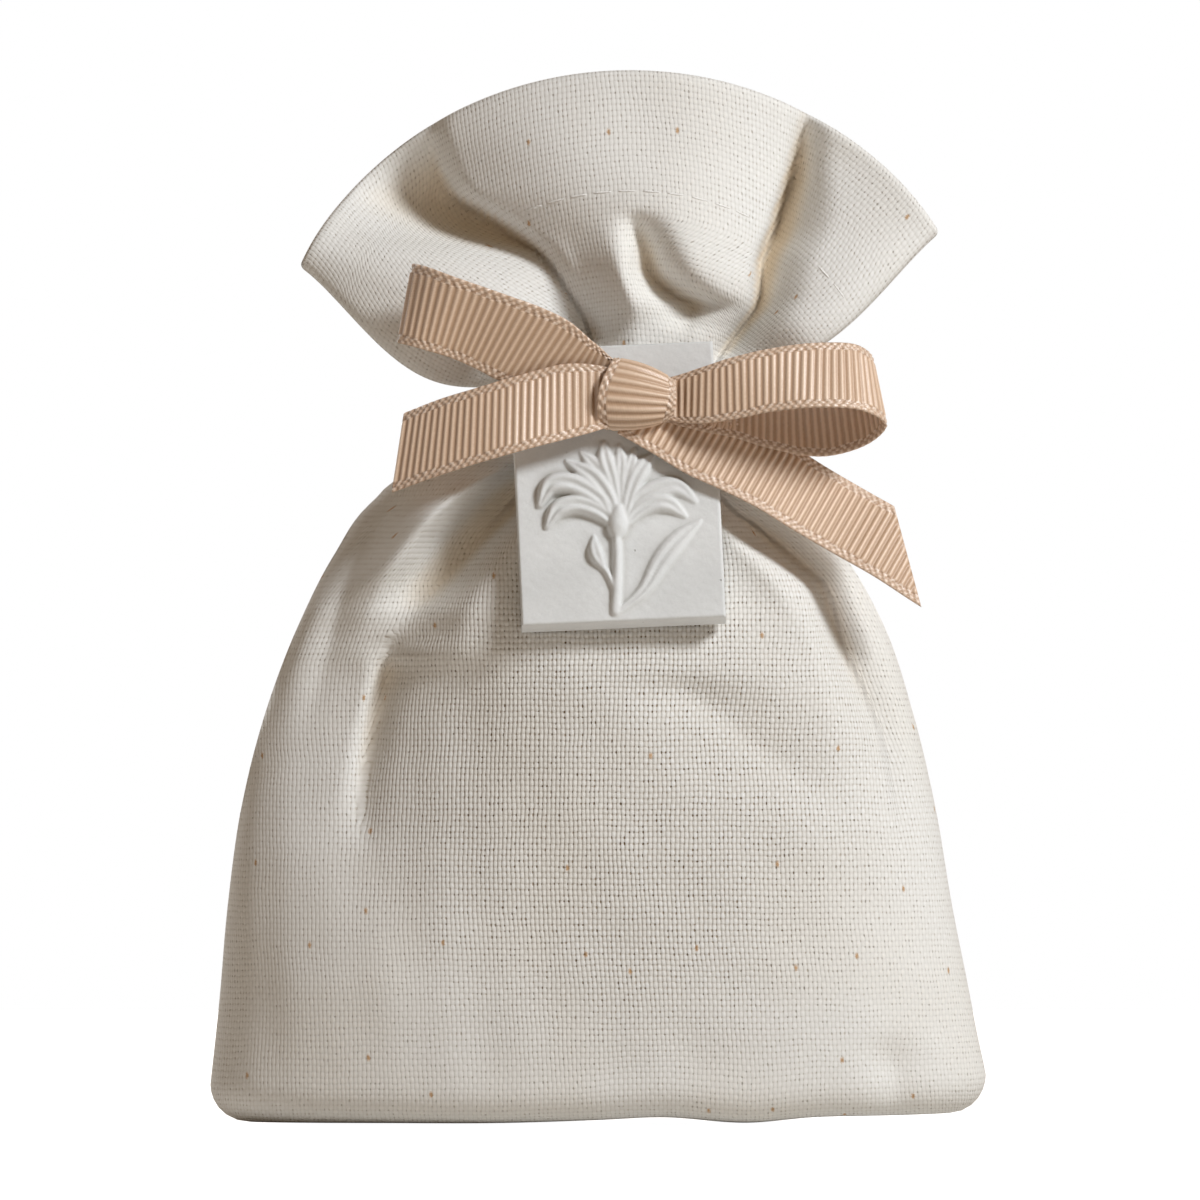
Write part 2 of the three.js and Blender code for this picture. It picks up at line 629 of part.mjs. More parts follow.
function makeTag() {
  const top = TAG_HOLE_DROP - TAG_EDGE;
  const side = TAG_WIDTH / 2 - TAG_EDGE;
  const face = new THREE.Shape([
    new THREE.Vector2(-side, TAG_EDGE - TAG_LENGTH),
    new THREE.Vector2(side, TAG_EDGE - TAG_LENGTH),
    new THREE.Vector2(side, top),
    new THREE.Vector2(-side, top),
  ]);
  face.holes.push(new THREE.Path().absarc(0, 0, TAG_HOLE / 2 + TAG_EDGE, 0, 2 * Math.PI));
  const plate = new THREE.ExtrudeGeometry(face, {
    depth: TAG_THICKNESS - 2 * TAG_EDGE,
    bevelThickness: TAG_EDGE,
    bevelSize: TAG_EDGE,
    bevelSegments: 1,
    curveSegments: ROUND,
  });
  plate.translate(0, 0, TAG_EDGE).rotateX(Math.PI / 2);
  let solid = toSolid(plate);
  for (const { at, wide, high } of STROKES) {
    const points = at.map(([across, up]) => [across, up - BLOOM_DROP]);
    solid = solid.add(toSolid(makeStroke(points, wide, high)));
  }
  return fromSolid(solid);
}

// Materials
const canvas = new THREE.MeshStandardMaterial({ color: 0xd9d3c5, roughness: 0.95, metalness: 0 });
const grosgrain = new THREE.MeshStandardMaterial({ color: 0xc3a58c, roughness: 0.6, metalness: 0 });
const plaster = new THREE.MeshStandardMaterial({ color: 0xd9d8d3, roughness: 0.85, metalness: 0 });
const nonwoven = new THREE.MeshStandardMaterial({ color: 0xf0eee8, roughness: 0.9, metalness: 0 });
const granule = new THREE.MeshStandardMaterial({ color: 0xb9a98a, roughness: 1, metalness: 0 });

const sachet = new THREE.Group();
function add(parent, name, geometry, material) {
  const mesh = new THREE.Mesh(geometry, material);
  mesh.name = name;
  parent.add(mesh);
  return mesh;
}

add(sachet, "bag_cloth", makeBag(), canvas);

const pouch = new THREE.Group();
pouch.position.z = POUCH_MIDDLE;
sachet.add(pouch);
add(pouch, "pouch_back_web", makePouchWeb(), nonwoven);
add(pouch, "pouch_front_web", makePouchWeb(), nonwoven).rotation.z = Math.PI;
add(pouch, "scent_granules", makeGranules(), granule);

add(sachet, "ribbon_neck_band", makeNeckBand(), grosgrain).position.z = NECK_HEIGHT + BAND_MARGIN;
const strand = add(sachet, "ribbon_tag_strand", makeStrand(), grosgrain);
strand.position.copy(hole);
strand.quaternion.setFromUnitVectors(new THREE.Vector3(0, 1, 0), facing);

const bow = new THREE.Group();
bow.position.copy(knot);
sachet.add(bow);
add(bow, "ribbon_knot", makeKnot(), grosgrain).rotation.x = -TAG_LEAN;
add(bow, "ribbon_left_loop", makeRibbon(LEFT_LOOP), grosgrain);
add(bow, "ribbon_right_loop", makeRibbon(RIGHT_LOOP), grosgrain);
add(bow, "ribbon_left_tail", makeRibbon(LEFT_TAIL), grosgrain);
add(bow, "ribbon_right_tail", makeRibbon(RIGHT_TAIL), grosgrain);

const tag = add(sachet, "plaster_tag", makeTag(), plaster);
tag.position.copy(hole);
tag.rotation.set(-TAG_LEAN, degToRad(-TAG_ROLL), 0);

export default sachet;
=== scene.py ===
# Scented sachet: a filled canvas bag, tied at the neck with a grosgrain bow that carries a plaster tag.
# Metres, +Z up, the front faces -Y. Sizes are given in millimetres and taken to metres with MM.
import math

import bmesh
import bpy
import numpy as np
from mathutils import Matrix, Vector


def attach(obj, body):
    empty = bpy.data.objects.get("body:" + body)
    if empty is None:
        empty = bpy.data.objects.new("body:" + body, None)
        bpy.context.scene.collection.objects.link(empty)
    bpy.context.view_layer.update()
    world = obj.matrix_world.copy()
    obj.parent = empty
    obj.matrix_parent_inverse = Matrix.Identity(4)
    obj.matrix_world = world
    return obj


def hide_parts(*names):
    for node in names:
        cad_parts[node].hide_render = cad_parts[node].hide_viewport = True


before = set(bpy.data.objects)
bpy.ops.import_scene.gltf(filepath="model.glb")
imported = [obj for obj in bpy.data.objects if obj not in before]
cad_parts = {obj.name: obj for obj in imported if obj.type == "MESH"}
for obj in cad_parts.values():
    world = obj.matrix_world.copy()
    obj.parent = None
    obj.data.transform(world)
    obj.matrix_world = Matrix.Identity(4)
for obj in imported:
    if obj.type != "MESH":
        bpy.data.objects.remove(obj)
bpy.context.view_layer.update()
scene = bpy.context.scene

# View and light. The sachet stands on a white sweep and is seen straight on through a long lens. A small
# window lights it from the upper right, warm bounced light fills the shadows, and the room behind it
# lights its back.
MM = 0.001
VIEW_WIDTH = 160 * MM
VIEW_MIDDLE = 69.9 * MM
VIEW_DISTANCE = 2.5
VIEW_FRONT = 12 * MM  # the plane in front of the middle that fills VIEW_WIDTH
SENSOR = 36
camera = bpy.data.objects.new("view", bpy.data.cameras.new("view"))
camera.data.sensor_width = SENSOR
camera.data.lens = SENSOR * VIEW_DISTANCE / VIEW_WIDTH
camera.location = (0, -VIEW_DISTANCE - VIEW_FRONT, VIEW_MIDDLE)
camera.rotation_euler = (math.pi / 2, 0, 0)
scene.collection.objects.link(camera)
scene.camera = camera
scene.view_settings.view_transform = "Standard"


def hang_lamp(name, place, size, power, colour):
    lamp = bpy.data.objects.new(name, bpy.data.lights.new(name, "AREA"))
    lamp.data.shape = "DISK"
    lamp.data.size = size
    lamp.data.energy = power
    lamp.data.color = colour
    lamp.location = place
    aim = Vector((0, 0, VIEW_MIDDLE)) - Vector(place)
    lamp.rotation_euler = aim.to_track_quat("-Z", "Y").to_euler()
    scene.collection.objects.link(lamp)


hang_lamp("window", (0.51, -0.492, 0.55), size=0.22, power=5.6, colour=(0.965, 1, 1.035))
hang_lamp("room_behind", (-0.5, 0.75, 0.45), size=0.7, power=4, colour=(1, 1, 1))


class Signal:
    """A socket of a material's nodes. Sums on signals add Math nodes, and node() adds any other node."""

    def __init__(self, tree, socket=None):
        self.tree = tree
        self.socket = socket

    def node(self, kind, settings=None, *values, out=0, **named):
        made = self.tree.nodes.new("ShaderNode" + kind)
        for name, value in (settings or {}).items():
            setattr(made, name, value)
        places = list(enumerate(values)) + [(name.replace("_", " "), v) for name, v in named.items()]
        for place, value in places:
            if isinstance(value, Signal):
                self.tree.links.new(value.socket, made.inputs[place])
            else:
                made.inputs[place].default_value = value
        return Signal(self.tree, made.outputs[out])

    def sum(self, operation, *others):
        return self.node("Math", {"operation": operation}, self, *others)

    def __add__(self, other):
        return self.sum("ADD", other)

    __radd__ = __add__

    def __sub__(self, other):
        return self.sum("SUBTRACT", other)

    def __rsub__(self, other):
        return self.node("Math", {"operation": "SUBTRACT"}, other, self)

    def __mul__(self, other):
        return self.sum("MULTIPLY", other)

    def __truediv__(self, other):
        return self.sum("DIVIDE", other)

    def part(self, place):
        """The x, y or z of a place."""
        return self.node("SeparateXYZ", {}, self, out=place)

    def noise(self, scale, detail, out=0):
        """Cloudy noise over flat cloth."""
        return self.node("TexNoise", {"noise_dimensions": "2D"}, self, Scale=scale, Detail=detail, out=out)

    def ease(self, low, high):
        """0 below low, 1 above high and a soft step between them."""
        return self.node("MapRange", {"interpolation_type": "SMOOTHSTEP"}, self, low, high)

    def tint(self, low, high):
        """A colour from low, where the signal is 0, to high, where it is 1."""
        made = self.node("Mix", {"data_type": "RGBA"}, self).socket.node
        for socket, colour in zip(made.inputs[6:8], (low, high)):  # the two that take colours
            if isinstance(colour, Signal):
                self.tree.links.new(colour.socket, socket)
            else:
                socket.default_value = (*colour, 1)
        return Signal(self.tree, made.outputs[2])


def new_finish(name, **constants):
    """A material whose shader has these constant sockets: (material, start of its nodes, its shader)."""
    material = bpy.data.materials.new(name)
    material.use_nodes = True
    shader = material.node_tree.nodes["Principled BSDF"]
    for socket, value in constants.items():
        shader.inputs[socket.replace("_", " ")].default_value = value
    return material, Signal(material.node_tree), shader


def dress(shader, colour, height=None, depth=0):
    """Links what changes over a surface: its colour, and a bump of the given depth in metres."""
    start = Signal(shader.id_data)
    start.tree.links.new(colour.socket, shader.inputs["Base Color"])
    if height:
        bump = start.node("Bump", {}, Height=height, Distance=depth, Strength=1)
        start.tree.links.new(bump.socket, shader.inputs["Normal"])


def put_down(name, mesh):
    """The finished mesh as an object of the scene."""
    piece = bpy.data.objects.new(name, bpy.data.meshes.new(name))
    mesh.to_mesh(piece.data)
    mesh.free()
    scene.collection.objects.link(piece)
    return piece


world = bpy.data.worlds.new("sweep")
scene.world = world
world.use_nodes = True
sky = Signal(world.node_tree)
seen = sky.node("LightPath", out="Is Camera Ray")
seen = seen + sky.node("LightPath", out="Is Glossy Ray") + sky.node("LightPath", out="Is Transmission Ray")
SKY_LIGHT = (0.125, 0.078, 0.036)
WHITE = (1, 1, 1)
world.node_tree.links.new(
    seen.sum("MINIMUM", 1).tint(SKY_LIGHT, WHITE).socket,
    world.node_tree.nodes["Background"].inputs["Color"],
)

FLOOR_RADIUS = 0.7
FLOOR_DROP = 0.3 * MM
SWEEP_SHADE, SWEEP_PALE = (0.82, 0.79, 0.745), (0.84, 0.81, 0.765)
floor_mesh = bmesh.new()
bmesh.ops.create_circle(floor_mesh, cap_ends=True, segments=96, radius=FLOOR_RADIUS)
floor = put_down("sweep_floor", floor_mesh)
floor.location.z = -FLOOR_DROP
white, start, shader = new_finish("white_sweep", Roughness=1, Specular_IOR_Level=0)
grain = start.node("TexNoise", {}, start.node("TexCoord", out="Object"), Scale=40)
dress(shader, grain.tint(SWEEP_SHADE, SWEEP_PALE))
shader.inputs["Emission Strength"].default_value = 1
glow = start.node("LightPath", out="Is Camera Ray").tint((0, 0, 0), WHITE)
white.node_tree.links.new(glow.socket, shader.inputs["Emission Color"])
floor.data.materials.append(white)

# Canvas bag. One cloth of natural cotton canvas, folded at the foot, sewn up both sides and turned in at
# the mouth, then filled and drawn together at the neck. Each panel is laid out as a flat grid of cloth
# and shaped from the foot up: base, rolled edge, belly, tie, fanned ruffle, mouth and turned-in hem.
BASE = (47, 13)  # half the width and half the depth of the flat area that it stands on
ROLL = 5  # height of the rolled edge
NECK_LOW, NECK_HIGH = 90, 98  # lower and upper edge of the tie
NECK = (12, 5.5)  # half the width and half the depth of the tied bundle
NECK_SHIFT = 4  # the neck stands right of the middle
BUNCHED_FROM = 0.86 * NECK_LOW
SECTION, SECTION_BUNCHED = 2.5, 8  # power of a level section's round, filled and bunched up
FLAT_SHARES = (0, 0.3, 0.6, 0.85)  # rows of cloth under the foot
ROLL_ANGLES = (0, 18, 36, 52, 66, 79)  # rows of the rolled edge, in degrees
CLOTH = 0.8
COLUMNS = 132
BELLY = np.array([  # height, reach to the left, reach to the right, depth
    (5, 52.2, 51.7, 36.1),
    (16.2, 51, 49.7, 38),
    (28.8, 49.9, 47.2, 38),
    (42.3, 48, 44.9, 36.8),
    (54.9, 44.8, 41.9, 34),
    (67, 40.2, 37.8, 30),
    (76, 35.6, 32.6, 25.4),
    (83, 30.6, 26.6, 20),
    (87, 25, 22, 15.2),
    (89, 17.5, 18, 12.4),
    (90, 8, 16, 11),
])
RUFFLE_MIDDLE, RUFFLE_SEAM = 42.8, 36.2  # tie to mouth, along the middle and along a side seam
RUFFLE_SPREAD, RUFFLE_HEADING = 117.4, 94.2  # degrees
RUFFLE_SAG = (6.3, 3.9)  # drop of its left and of its right edge
SAG_ACROSS, SAG_UP = 3, 1.5  # powers of that drop
RUFFLE_FLAT = 0.45  # share of the ruffle where it has flattened out
HEM = 16
HEM_INSET = 0.03  # share of the width that it keeps clear of the seams
HEM_PRESSED = 0.25  # share of its thickness that it keeps
MOUTH_GAP = 2.4
BELLY_LAYERS, TIE_LAYERS, OUTER_LAYERS, TURN_LAYERS, HEM_LAYERS = 82, 4, 49, 7, 11  # rows of cloth
across = np.linspace(-1, 1, COLUMNS + 1)


def eased(value, low, high):
    share = np.clip((value - low) / (high - low), 0, 1)
    return share * share * (3 - 2 * share)


def spline(knots, values, at):
    """Points of a smooth line that passes through the values, one row for each knot."""
    knots, values, at = (np.asarray(a, float) for a in (knots, values, at))
    slopes = np.gradient(values, knots, axis=0)
    k = np.clip(np.searchsorted(knots, at) - 1, 0, len(knots) - 2)
    width = (knots[k + 1] - knots[k])[:, None]
    t = (at - knots[k])[:, None] / width
    rise = values[k + 1] - values[k]
    bend = (slopes[k] * width - rise) * (1 - t) - (slopes[k + 1] * width - rise) * t
    return values[k] + t * rise + t * (1 - t) * bend


def belly_rows(face, z):
    left, right, depth = spline(BELLY[:, 0], BELLY[:, 1:], np.clip(z, ROLL, NECK_LOW)).T[..., None]
    bunch = eased(z, BUNCHED_FROM, NECK_LOW)[:, None]
    place = (1 - bunch) * np.sin(across * math.pi / 2) + bunch * across
    x = (right - left) / 2 + place * (left + right) / 2
    power = SECTION + (SECTION_BUNCHED - SECTION) * bunch
    y = face * depth / 2 * np.sqrt(np.clip(1 - np.abs(place) ** power, 0, 1))
    return np.stack([x, y, np.broadcast_to(z[:, None], x.shape)], axis=-1)


def foot_rows(face):
    rim = belly_rows(face, np.array([ROLL]))[0]
    ellipse = np.sin(across * math.pi / 2)
    base = np.stack([BASE[0] * ellipse, face * BASE[1] * np.cos(across * math.pi / 2), 0 * across], axis=-1)
    flat = [base * (1, share, 1) for share in FLAT_SHARES]
    rolled = []
    for angle in np.radians(ROLL_ANGLES):
        row = base + (rim - base) * math.sin(angle)
        row[:, 2] = ROLL * (1 - math.cos(angle))
        rolled.append(row)
    return np.array(flat + rolled)


def ruffle_rows(face, t, half, inset):
    t, half, inset = t[:, None], half[:, None], inset[:, None]
    place = across * (1 - inset)
    heading = np.radians(RUFFLE_HEADING - place * RUFFLE_SPREAD / 2)
    reach = t * (RUFFLE_MIDDLE + (RUFFLE_SEAM - RUFFLE_MIDDLE) * place**2)
    sag = np.where(place < 0, *RUFFLE_SAG) * np.abs(place) ** SAG_ACROSS
    x = NECK_SHIFT + place * NECK[0] + reach * np.cos(heading)
    y = face * half * np.sqrt(np.clip(1 - np.abs(place) ** SECTION_BUNCHED, 0, 1))
    z = NECK_HIGH + reach * np.sin(heading) - sag * np.sin(math.pi * np.clip(t, 0, 1)) ** SAG_UP
    return np.stack([x, y, z], axis=-1)


belly_z = np.linspace(ROLL, NECK_LOW, BELLY_LAYERS)
tie_z = np.linspace(NECK_LOW, NECK_HIGH, TIE_LAYERS + 2)[1:-1]
MOUTH = 1 - CLOTH / RUFFLE_MIDDLE  # share of the ruffle where its edge starts to turn in
turn = np.linspace(0, math.pi, TURN_LAYERS)
ruffle_t = np.concatenate([
    np.linspace(0, MOUTH, OUTER_LAYERS + 1)[:-1],
    MOUTH + (1 - MOUTH) * np.sin(turn),
    np.linspace(MOUTH, 1 - HEM / RUFFLE_MIDDLE, HEM_LAYERS + 1)[1:],
])
outer = NECK[1] + (MOUTH_GAP / 2 + 2 * CLOTH - NECK[1]) * eased(ruffle_t, 0, RUFFLE_FLAT)
turned = np.concatenate([np.zeros(OUTER_LAYERS), (1 - np.cos(turn)) / 2, np.ones(HEM_LAYERS)])
ruffle_half = outer - 2 * CLOTH * turned
FOOT_ROWS = len(foot_rows(1))
BELLY_ROWS = FOOT_ROWS + len(belly_z)
TIE_ROWS = BELLY_ROWS + len(tie_z)
MOUTH_ROWS = TIE_ROWS + OUTER_LAYERS
ROWS = TIE_ROWS + len(ruffle_t)


def lay_panel(face):
    tie = np.repeat(belly_rows(face, np.array([NECK_LOW])), len(tie_z), axis=0)
    tie[..., 2] = tie_z[:, None]
    return np.concatenate([
        foot_rows(face),
        belly_rows(face, belly_z),
        tie,
        ruffle_rows(face, ruffle_t, ruffle_half, HEM_INSET * turned),
    ])


panels = {face: lay_panel(face) for face in (-1, 1)}

# A fold is a groove, or a ridge where its depth is negative. Its rows give a height, the place of its line
# there, its depth, and how far its flanks run out to the left and to the right. The cloth on the left of a
# step stays back for a while before it comes forward.
BELLY_STEPS = [
    [  # upper left groove, beside the steep edge of the middle swell
        (63, -29, 0, 16, 22), (65.5, -27.2, 3, 16, 20), (68.4, -24.9, 6, 14, 14),
        (70.4, -22.9, 7.2, 13, 11), (74.8, -18.9, 8.4, 11, 7.5), (78.8, -15.4, 9.4, 11, 6),
        (82.4, -11.9, 9.4, 11, 5), (86, -9.5, 7.4, 10, 5),
    ],
    [  # lower left groove
        (19, -28, 0, 34, 36), (27, -28.9, 1.2, 34, 36), (35, -30.2, 2.8, 34, 36),
        (40.5, -31.7, 4.4, 34, 36), (46.5, -31.6, 6, 34, 36), (51.9, -30.8, 7.2, 34, 36),
        (56.5, -29.7, 7.4, 30, 33), (60.5, -28.6, 7, 24, 28), (63.5, -28.5, 5, 20, 22),
        (66, -27.5, 2, 18, 18), (68, -26, 0, 16, 16),
    ],
]
BELLY_FOLDS = [
    [  # right groove, overhung by the middle swell
        (33, 41, 0, 11, 11), (38, 40, 0.6, 11, 11), (44.5, 38.7, 1.8, 9, 10), (52.5, 37.3, 3.6, 7, 10),
        (58.5, 34.7, 5, 5, 10.5), (63.9, 32.4, 6, 4, 10.5), (69, 31, 6.8, 3.5, 11),
        (71.9, 29.9, 6.8, 3.5, 10.5), (74.8, 26.8, 6.2, 4, 11), (77.8, 23.2, 5.4, 4.5, 12),
        (82, 18, 3.2, 5, 11), (84.5, 15, 1.5, 5, 9),
    ],
    [  # sharp bottom of the lower left groove
        (36, -30.8, 0, 4, 7), (40.5, -31.7, 0.9, 3.5, 6), (46.5, -31.6, 2, 2.5, 5),
        (51.9, -30.8, 2.8, 2, 4.5), (56.5, -29.7, 3, 2, 4.5), (60.5, -28.6, 2.8, 2.5, 5),
        (63, -28, 1.6, 4, 5), (65, -27, 0, 5, 5),
    ],
    [  # short level fold above it
        (62, -33, 0, 8, 10), (63.4, -28.5, 0.6, 8, 10), (64.2, -25.8, 0.9, 8, 10), (65.5, -22.5, 0.9, 8, 9),
        (67.2, -20.8, 0.3, 6, 8), (68.2, -20, 0, 6, 8),
    ],
    [  # swell that the tag's left edge lies on
        (60, -20, 0, 8, 12), (64, -18.5, -0.9, 7, 12), (68, -17.6, -1.4, 6, 11), (72, -15.6, -1.4, 5.5, 10),
        (76, -12.8, -1.2, 5, 9), (80, -9, -0.8, 5, 8), (83, -6.5, 0, 5, 8),
    ],
    [  # swell on the left shoulder, under the ribbon's tail
        (62, -34, 0, 8, 6), (68, -31, -0.8, 8, 6), (72.4, -29, -1.6, 8, 6), (75.7, -26.5, -2.6, 8, 6),
        (79, -24, -3.8, 9, 6), (82.4, -20.8, -4.2, 10, 6.5), (85, -17, -4.2, 11, 7), (87, -14, -3.5, 11, 7),
        (89, -11, -1, 10, 7),
    ],
    [  # shallow groove outside it
        (52, -39.5, 0, 7, 9), (59, -37.4, 1.2, 7, 8.5), (65.5, -35.8, 2, 7.5, 8),
        (71.5, -34.2, 2.4, 7.5, 7), (77.5, -31.5, 2.4, 8, 7), (82.8, -28, 1.6, 8, 7), (85.9, -25, 0, 8, 7),
    ],
    [  # swell between the tag and the right groove
        (62, 28.5, 0, 8, 5), (68, 26, -1.2, 8, 5), (73, 22.5, -2.2, 8, 5), (77, 18.8, -2.6, 8, 5),
        (80.5, 15.5, -2.6, 8, 5), (83.5, 12.5, -2, 8, 5), (86.5, 10, 0, 8, 5),
    ],
    [  # dent in the middle swell
        (40, 33, 0, 20, 20), (45.2, 28, 1.4, 20, 20), (52.5, 18.7, 1.7, 17, 20), (57.9, 12, 1.5, 17, 17),
        (60, 10, 0, 17, 17),
    ],
    [(1, 40, 0.8, 6, 6), (7, 38.9, 1.2, 6, 6), (12, 38.3, 0, 6, 6)],  # pinch in the right corner
]
RUFFLE_STEPS = [
    [  # left groove, between the set-back left flap and the middle swell
        (104, -0.8, 2, 10, 5), (107.8, -2, 3, 15, 6.5), (110.4, -3.9, 3.6, 21, 11),
        (114, -6.4, 4.4, 27, 16), (116.7, -8.8, 5.6, 32, 21), (118.4, -11.4, 6.6, 34, 25),
        (122, -16.9, 7.2, 34, 28), (124, -20, 7.2, 32, 29), (127.2, -21.9, 7, 32, 28),
        (132.1, -22.7, 5.5, 32, 26), (138, -22.8, 5, 32, 24),
    ],
    [  # edge of the middle swell over that groove
        (105.9, -1.1, 1, 7, 2), (110.4, -3.9, 1.6, 12, 2.4), (114, -6.4, 2.4, 16, 2.8),
        (116.7, -8.8, 4.2, 22, 3.2), (118.4, -11.4, 6.2, 26, 3.6), (122, -16.9, 8, 28, 3.8),
        (124, -20, 7.6, 28, 3.6), (127.2, -21.9, 6, 26, 3.2), (130, -22.5, 4, 24, 2.8),
        (132.1, -22.7, 2.2, 22, 2.6), (138, -22.8, 1.5, 22, 2.6),
    ],
]
RUFFLE_FOLDS = [
    [  # right groove
        (101.5, 15.4, 3, 5, 7), (105.7, 18.4, 4.4, 6, 9), (109.3, 21, 5, 8, 12), (112.8, 21.6, 5.2, 10, 16),
        (115.6, 21.9, 5.6, 12, 20), (119.1, 23.3, 6, 15, 24), (122.7, 24.4, 6, 16, 25),
        (126.1, 25.5, 6, 17, 25), (128.9, 26.3, 6, 18, 26), (132.9, 27.1, 5.5, 18, 24),
        (138, 27.4, 4.5, 18, 22),
    ],
    [  # sharp bottom of that groove
        (101.5, 15.4, 1.6, 1.4, 3), (105.7, 18.4, 3.8, 1.4, 5), (109.3, 21, 5.8, 1.4, 5.5),
        (112.8, 21.6, 7.2, 1.4, 6.5), (115.6, 21.9, 8.4, 1.4, 7), (119.1, 23.3, 8.8, 1.4, 7.5),
        (122.7, 24.4, 8.4, 1.4, 7), (126.1, 25.5, 7.4, 1.4, 5.5), (128.9, 26.3, 5, 1.6, 4.5),
        (132.9, 27.1, 2.4, 2, 4), (138, 27.4, 1.4, 2, 4),
    ],
    [  # hollow right of the middle, under the swelling cloth
        (105.5, 12, 0, 6, 9), (107.5, 12, 3, 7, 8), (109.3, 12.5, 6, 8, 7.5), (111, 9.5, 7, 6, 7),
        (113.3, 7, 7, 4, 6.5), (116.5, 6, 5.5, 3, 6), (119.5, 5.2, 3, 3, 5), (122, 4.5, 0, 3, 5),
    ],
    [(107, 5, -0.3, 5, 5), (110.5, 3.7, -1.6, 5, 5), (115.9, 2, -1.2, 5, 5), (121.2, 0, 0, 5, 5)],  # ridge
    [  # shallow groove left of the ridge
        (103.2, 0.4, 2, 6, 4), (105.9, -0.3, 2.2, 7, 5), (109.9, -1.3, 1.4, 8, 5), (115.2, -3.3, 0.5, 9, 5),
        (120, -5, 0, 9, 5),
    ],
]
RUFFLE_SWELL = 5.5  # how far the opened ruffle stands in front of the tie
RUFFLE_LEAN = 3.5  # how far its mouth leans back from there
CREASE_ROUND = 0.5  # radius at the bottom of a groove
BACK_BLUNT = 6  # least flank of a fold of the ruffle on the back panel, which follows the front
BELLY_LUMPS = ((0.32, 26, 3), (0.12, 9, 5))  # height, size and seed
RUFFLE_LUMPS = (0.3, 22, 8)
FOLDS_OPEN = (0.02, 0.2)  # shares of the ruffle between which its folds open
SWELL_FROM = 0.16  # share of the ruffle where it starts to swell forward
FOOT_FADE = (4, 14)  # heights between which the wave of the foot runs out
CALM_FOOT, CALM_NECK, CALM_SHARE = (0.5, 9), (60, 88), 0.6  # where the lumps start and weaken
FOLDS_FADE = 85  # height where the belly's folds start to run out
FOLD_ROOM = 0.95  # share of the way to the middle that a fold can sink
FOLD_LIMIT = 4  # power of the soft stop there
# Painted warm shade: cloth that lies deeper than the cloth around it is coloured darker and golden, as the
# shade in its folds.
FOLD_SHADE_REACH = (8, 10)  # rows and columns that a point is compared with
FOLD_SHADE_DEPTH = (1, 5)  # from plain cloth to cloth deep in a fold
HEM_STEEP = 1.7  # steepest slope that the hem makes room for
BACK_PLEATS = (-0.68, -0.4, -0.16, 0.1, 0.36, 0.66)
PLEAT_RISE = (42, 82)  # heights between which they grow
PLEAT_REACH, PLEAT_SPREAD = 5, 6  # flank of a grown pleat, and how much wider it starts
PLEAT_DEPTH, PLEAT_MORE = 2, 1.4
FOOT_WAVE = np.array([  # place along the foot, and how far it lifts off the ground there
    (-54, 0), (-30, 0.1), (-12, 0.2), (0, 0.6), (8, 0.95), (20, 0.2), (28, 0.85), (40, 1.05), (54, 1.4),
])


def groove(distance, left, right):
    away = np.hypot(distance, CREASE_ROUND) - CREASE_ROUND
    return np.clip(1 - away / np.where(distance < 0, left, right), 0, 1) ** 2


def step(distance, left, right):
    return np.where(distance < 0, 1 - eased(-distance, 0, left), groove(distance, left, right))


def fold_depth(points, folds, section, blunt=0):
    """How deep the folds lie at each point, from its place in the front view. blunt is the least flank."""
    x, z = points[..., 0], points[..., 2]
    total = np.zeros(x.shape)
    for rows in map(np.array, folds):
        height = np.clip(z, rows[0, 0], rows[-1, 0]).ravel()
        middle, depth, left, right = spline(rows[:, 0], rows[:, 1:], height).T.reshape(4, *x.shape)
        total += depth * section(x - middle, np.maximum(left, blunt), np.maximum(right, blunt))
    return total


def along_row(points):
    """Length of cloth from the left seam to each point of its row."""
    steps = np.linalg.norm(np.diff(points, axis=1), axis=2)
    return np.concatenate([np.zeros((len(points), 1)), np.cumsum(steps, axis=1)], axis=1)


def walked(points):
    """Length of a line from its first point to each of its points."""
    return along_row(points[None])[0]


def outward(points, face):
    normal = np.cross(np.gradient(points, axis=1), np.gradient(points, axis=0)) * -face
    return normal / np.maximum(np.linalg.norm(normal, axis=2, keepdims=True), 1e-9)


def lumps(points, size, seed):
    """Soft unevenness from a few crossed waves, about -1 to 1."""
    random = np.random.default_rng(seed)
    total = np.zeros(points.shape[:-1])
    for _ in range(9):
        direction = random.normal(size=3)
        direction /= np.linalg.norm(direction)
        phase = points @ direction * 2 * math.pi / (size * random.uniform(0.7, 1.5))
        total += np.sin(phase + random.uniform(0, 6.3))
    return total / 3.5


def softened(field, rows, columns):
    """The field, evened out over so many rows and columns on each side."""
    for axis, reach in enumerate((rows, columns)):
        ends = [(reach, reach) if k == axis else (0, 0) for k in range(2)]
        spread = np.pad(field, ends, mode="edge")
        field = np.lib.stride_tricks.sliding_window_view(spread, 2 * reach + 1, axis=axis).mean(axis=-1)
    return field


row_z = panels[-1][:, COLUMNS // 2, 2]
is_ruffle = np.arange(ROWS) >= TIE_ROWS
opened = np.zeros(ROWS)
opened[TIE_ROWS:] = eased(ruffle_t, *FOLDS_OPEN)
hem_share = np.zeros(ROWS)
hem_share[TIE_ROWS:] = turned
forward = np.zeros(ROWS)
forward[TIE_ROWS:] = (RUFFLE_SWELL * eased(ruffle_t, SWELL_FROM, RUFFLE_FLAT)
                      - RUFFLE_LEAN * eased(ruffle_t, RUFFLE_FLAT, 1))
below_tie = np.where(is_ruffle, 0, 1 - eased(row_z, FOLDS_FADE, NECK_LOW))[:, None]
foot_share = np.where(is_ruffle, 0, 1 - eased(row_z, *FOOT_FADE))
uneven = 1 - np.abs(across) ** 6  # less at the seams, near the tie and at the foot
uneven = uneven * (1 - eased(row_z, *CALM_NECK) * CALM_SHARE)[:, None] * eased(row_z, *CALM_FOOT)[:, None]
fold_shade_mask = {}
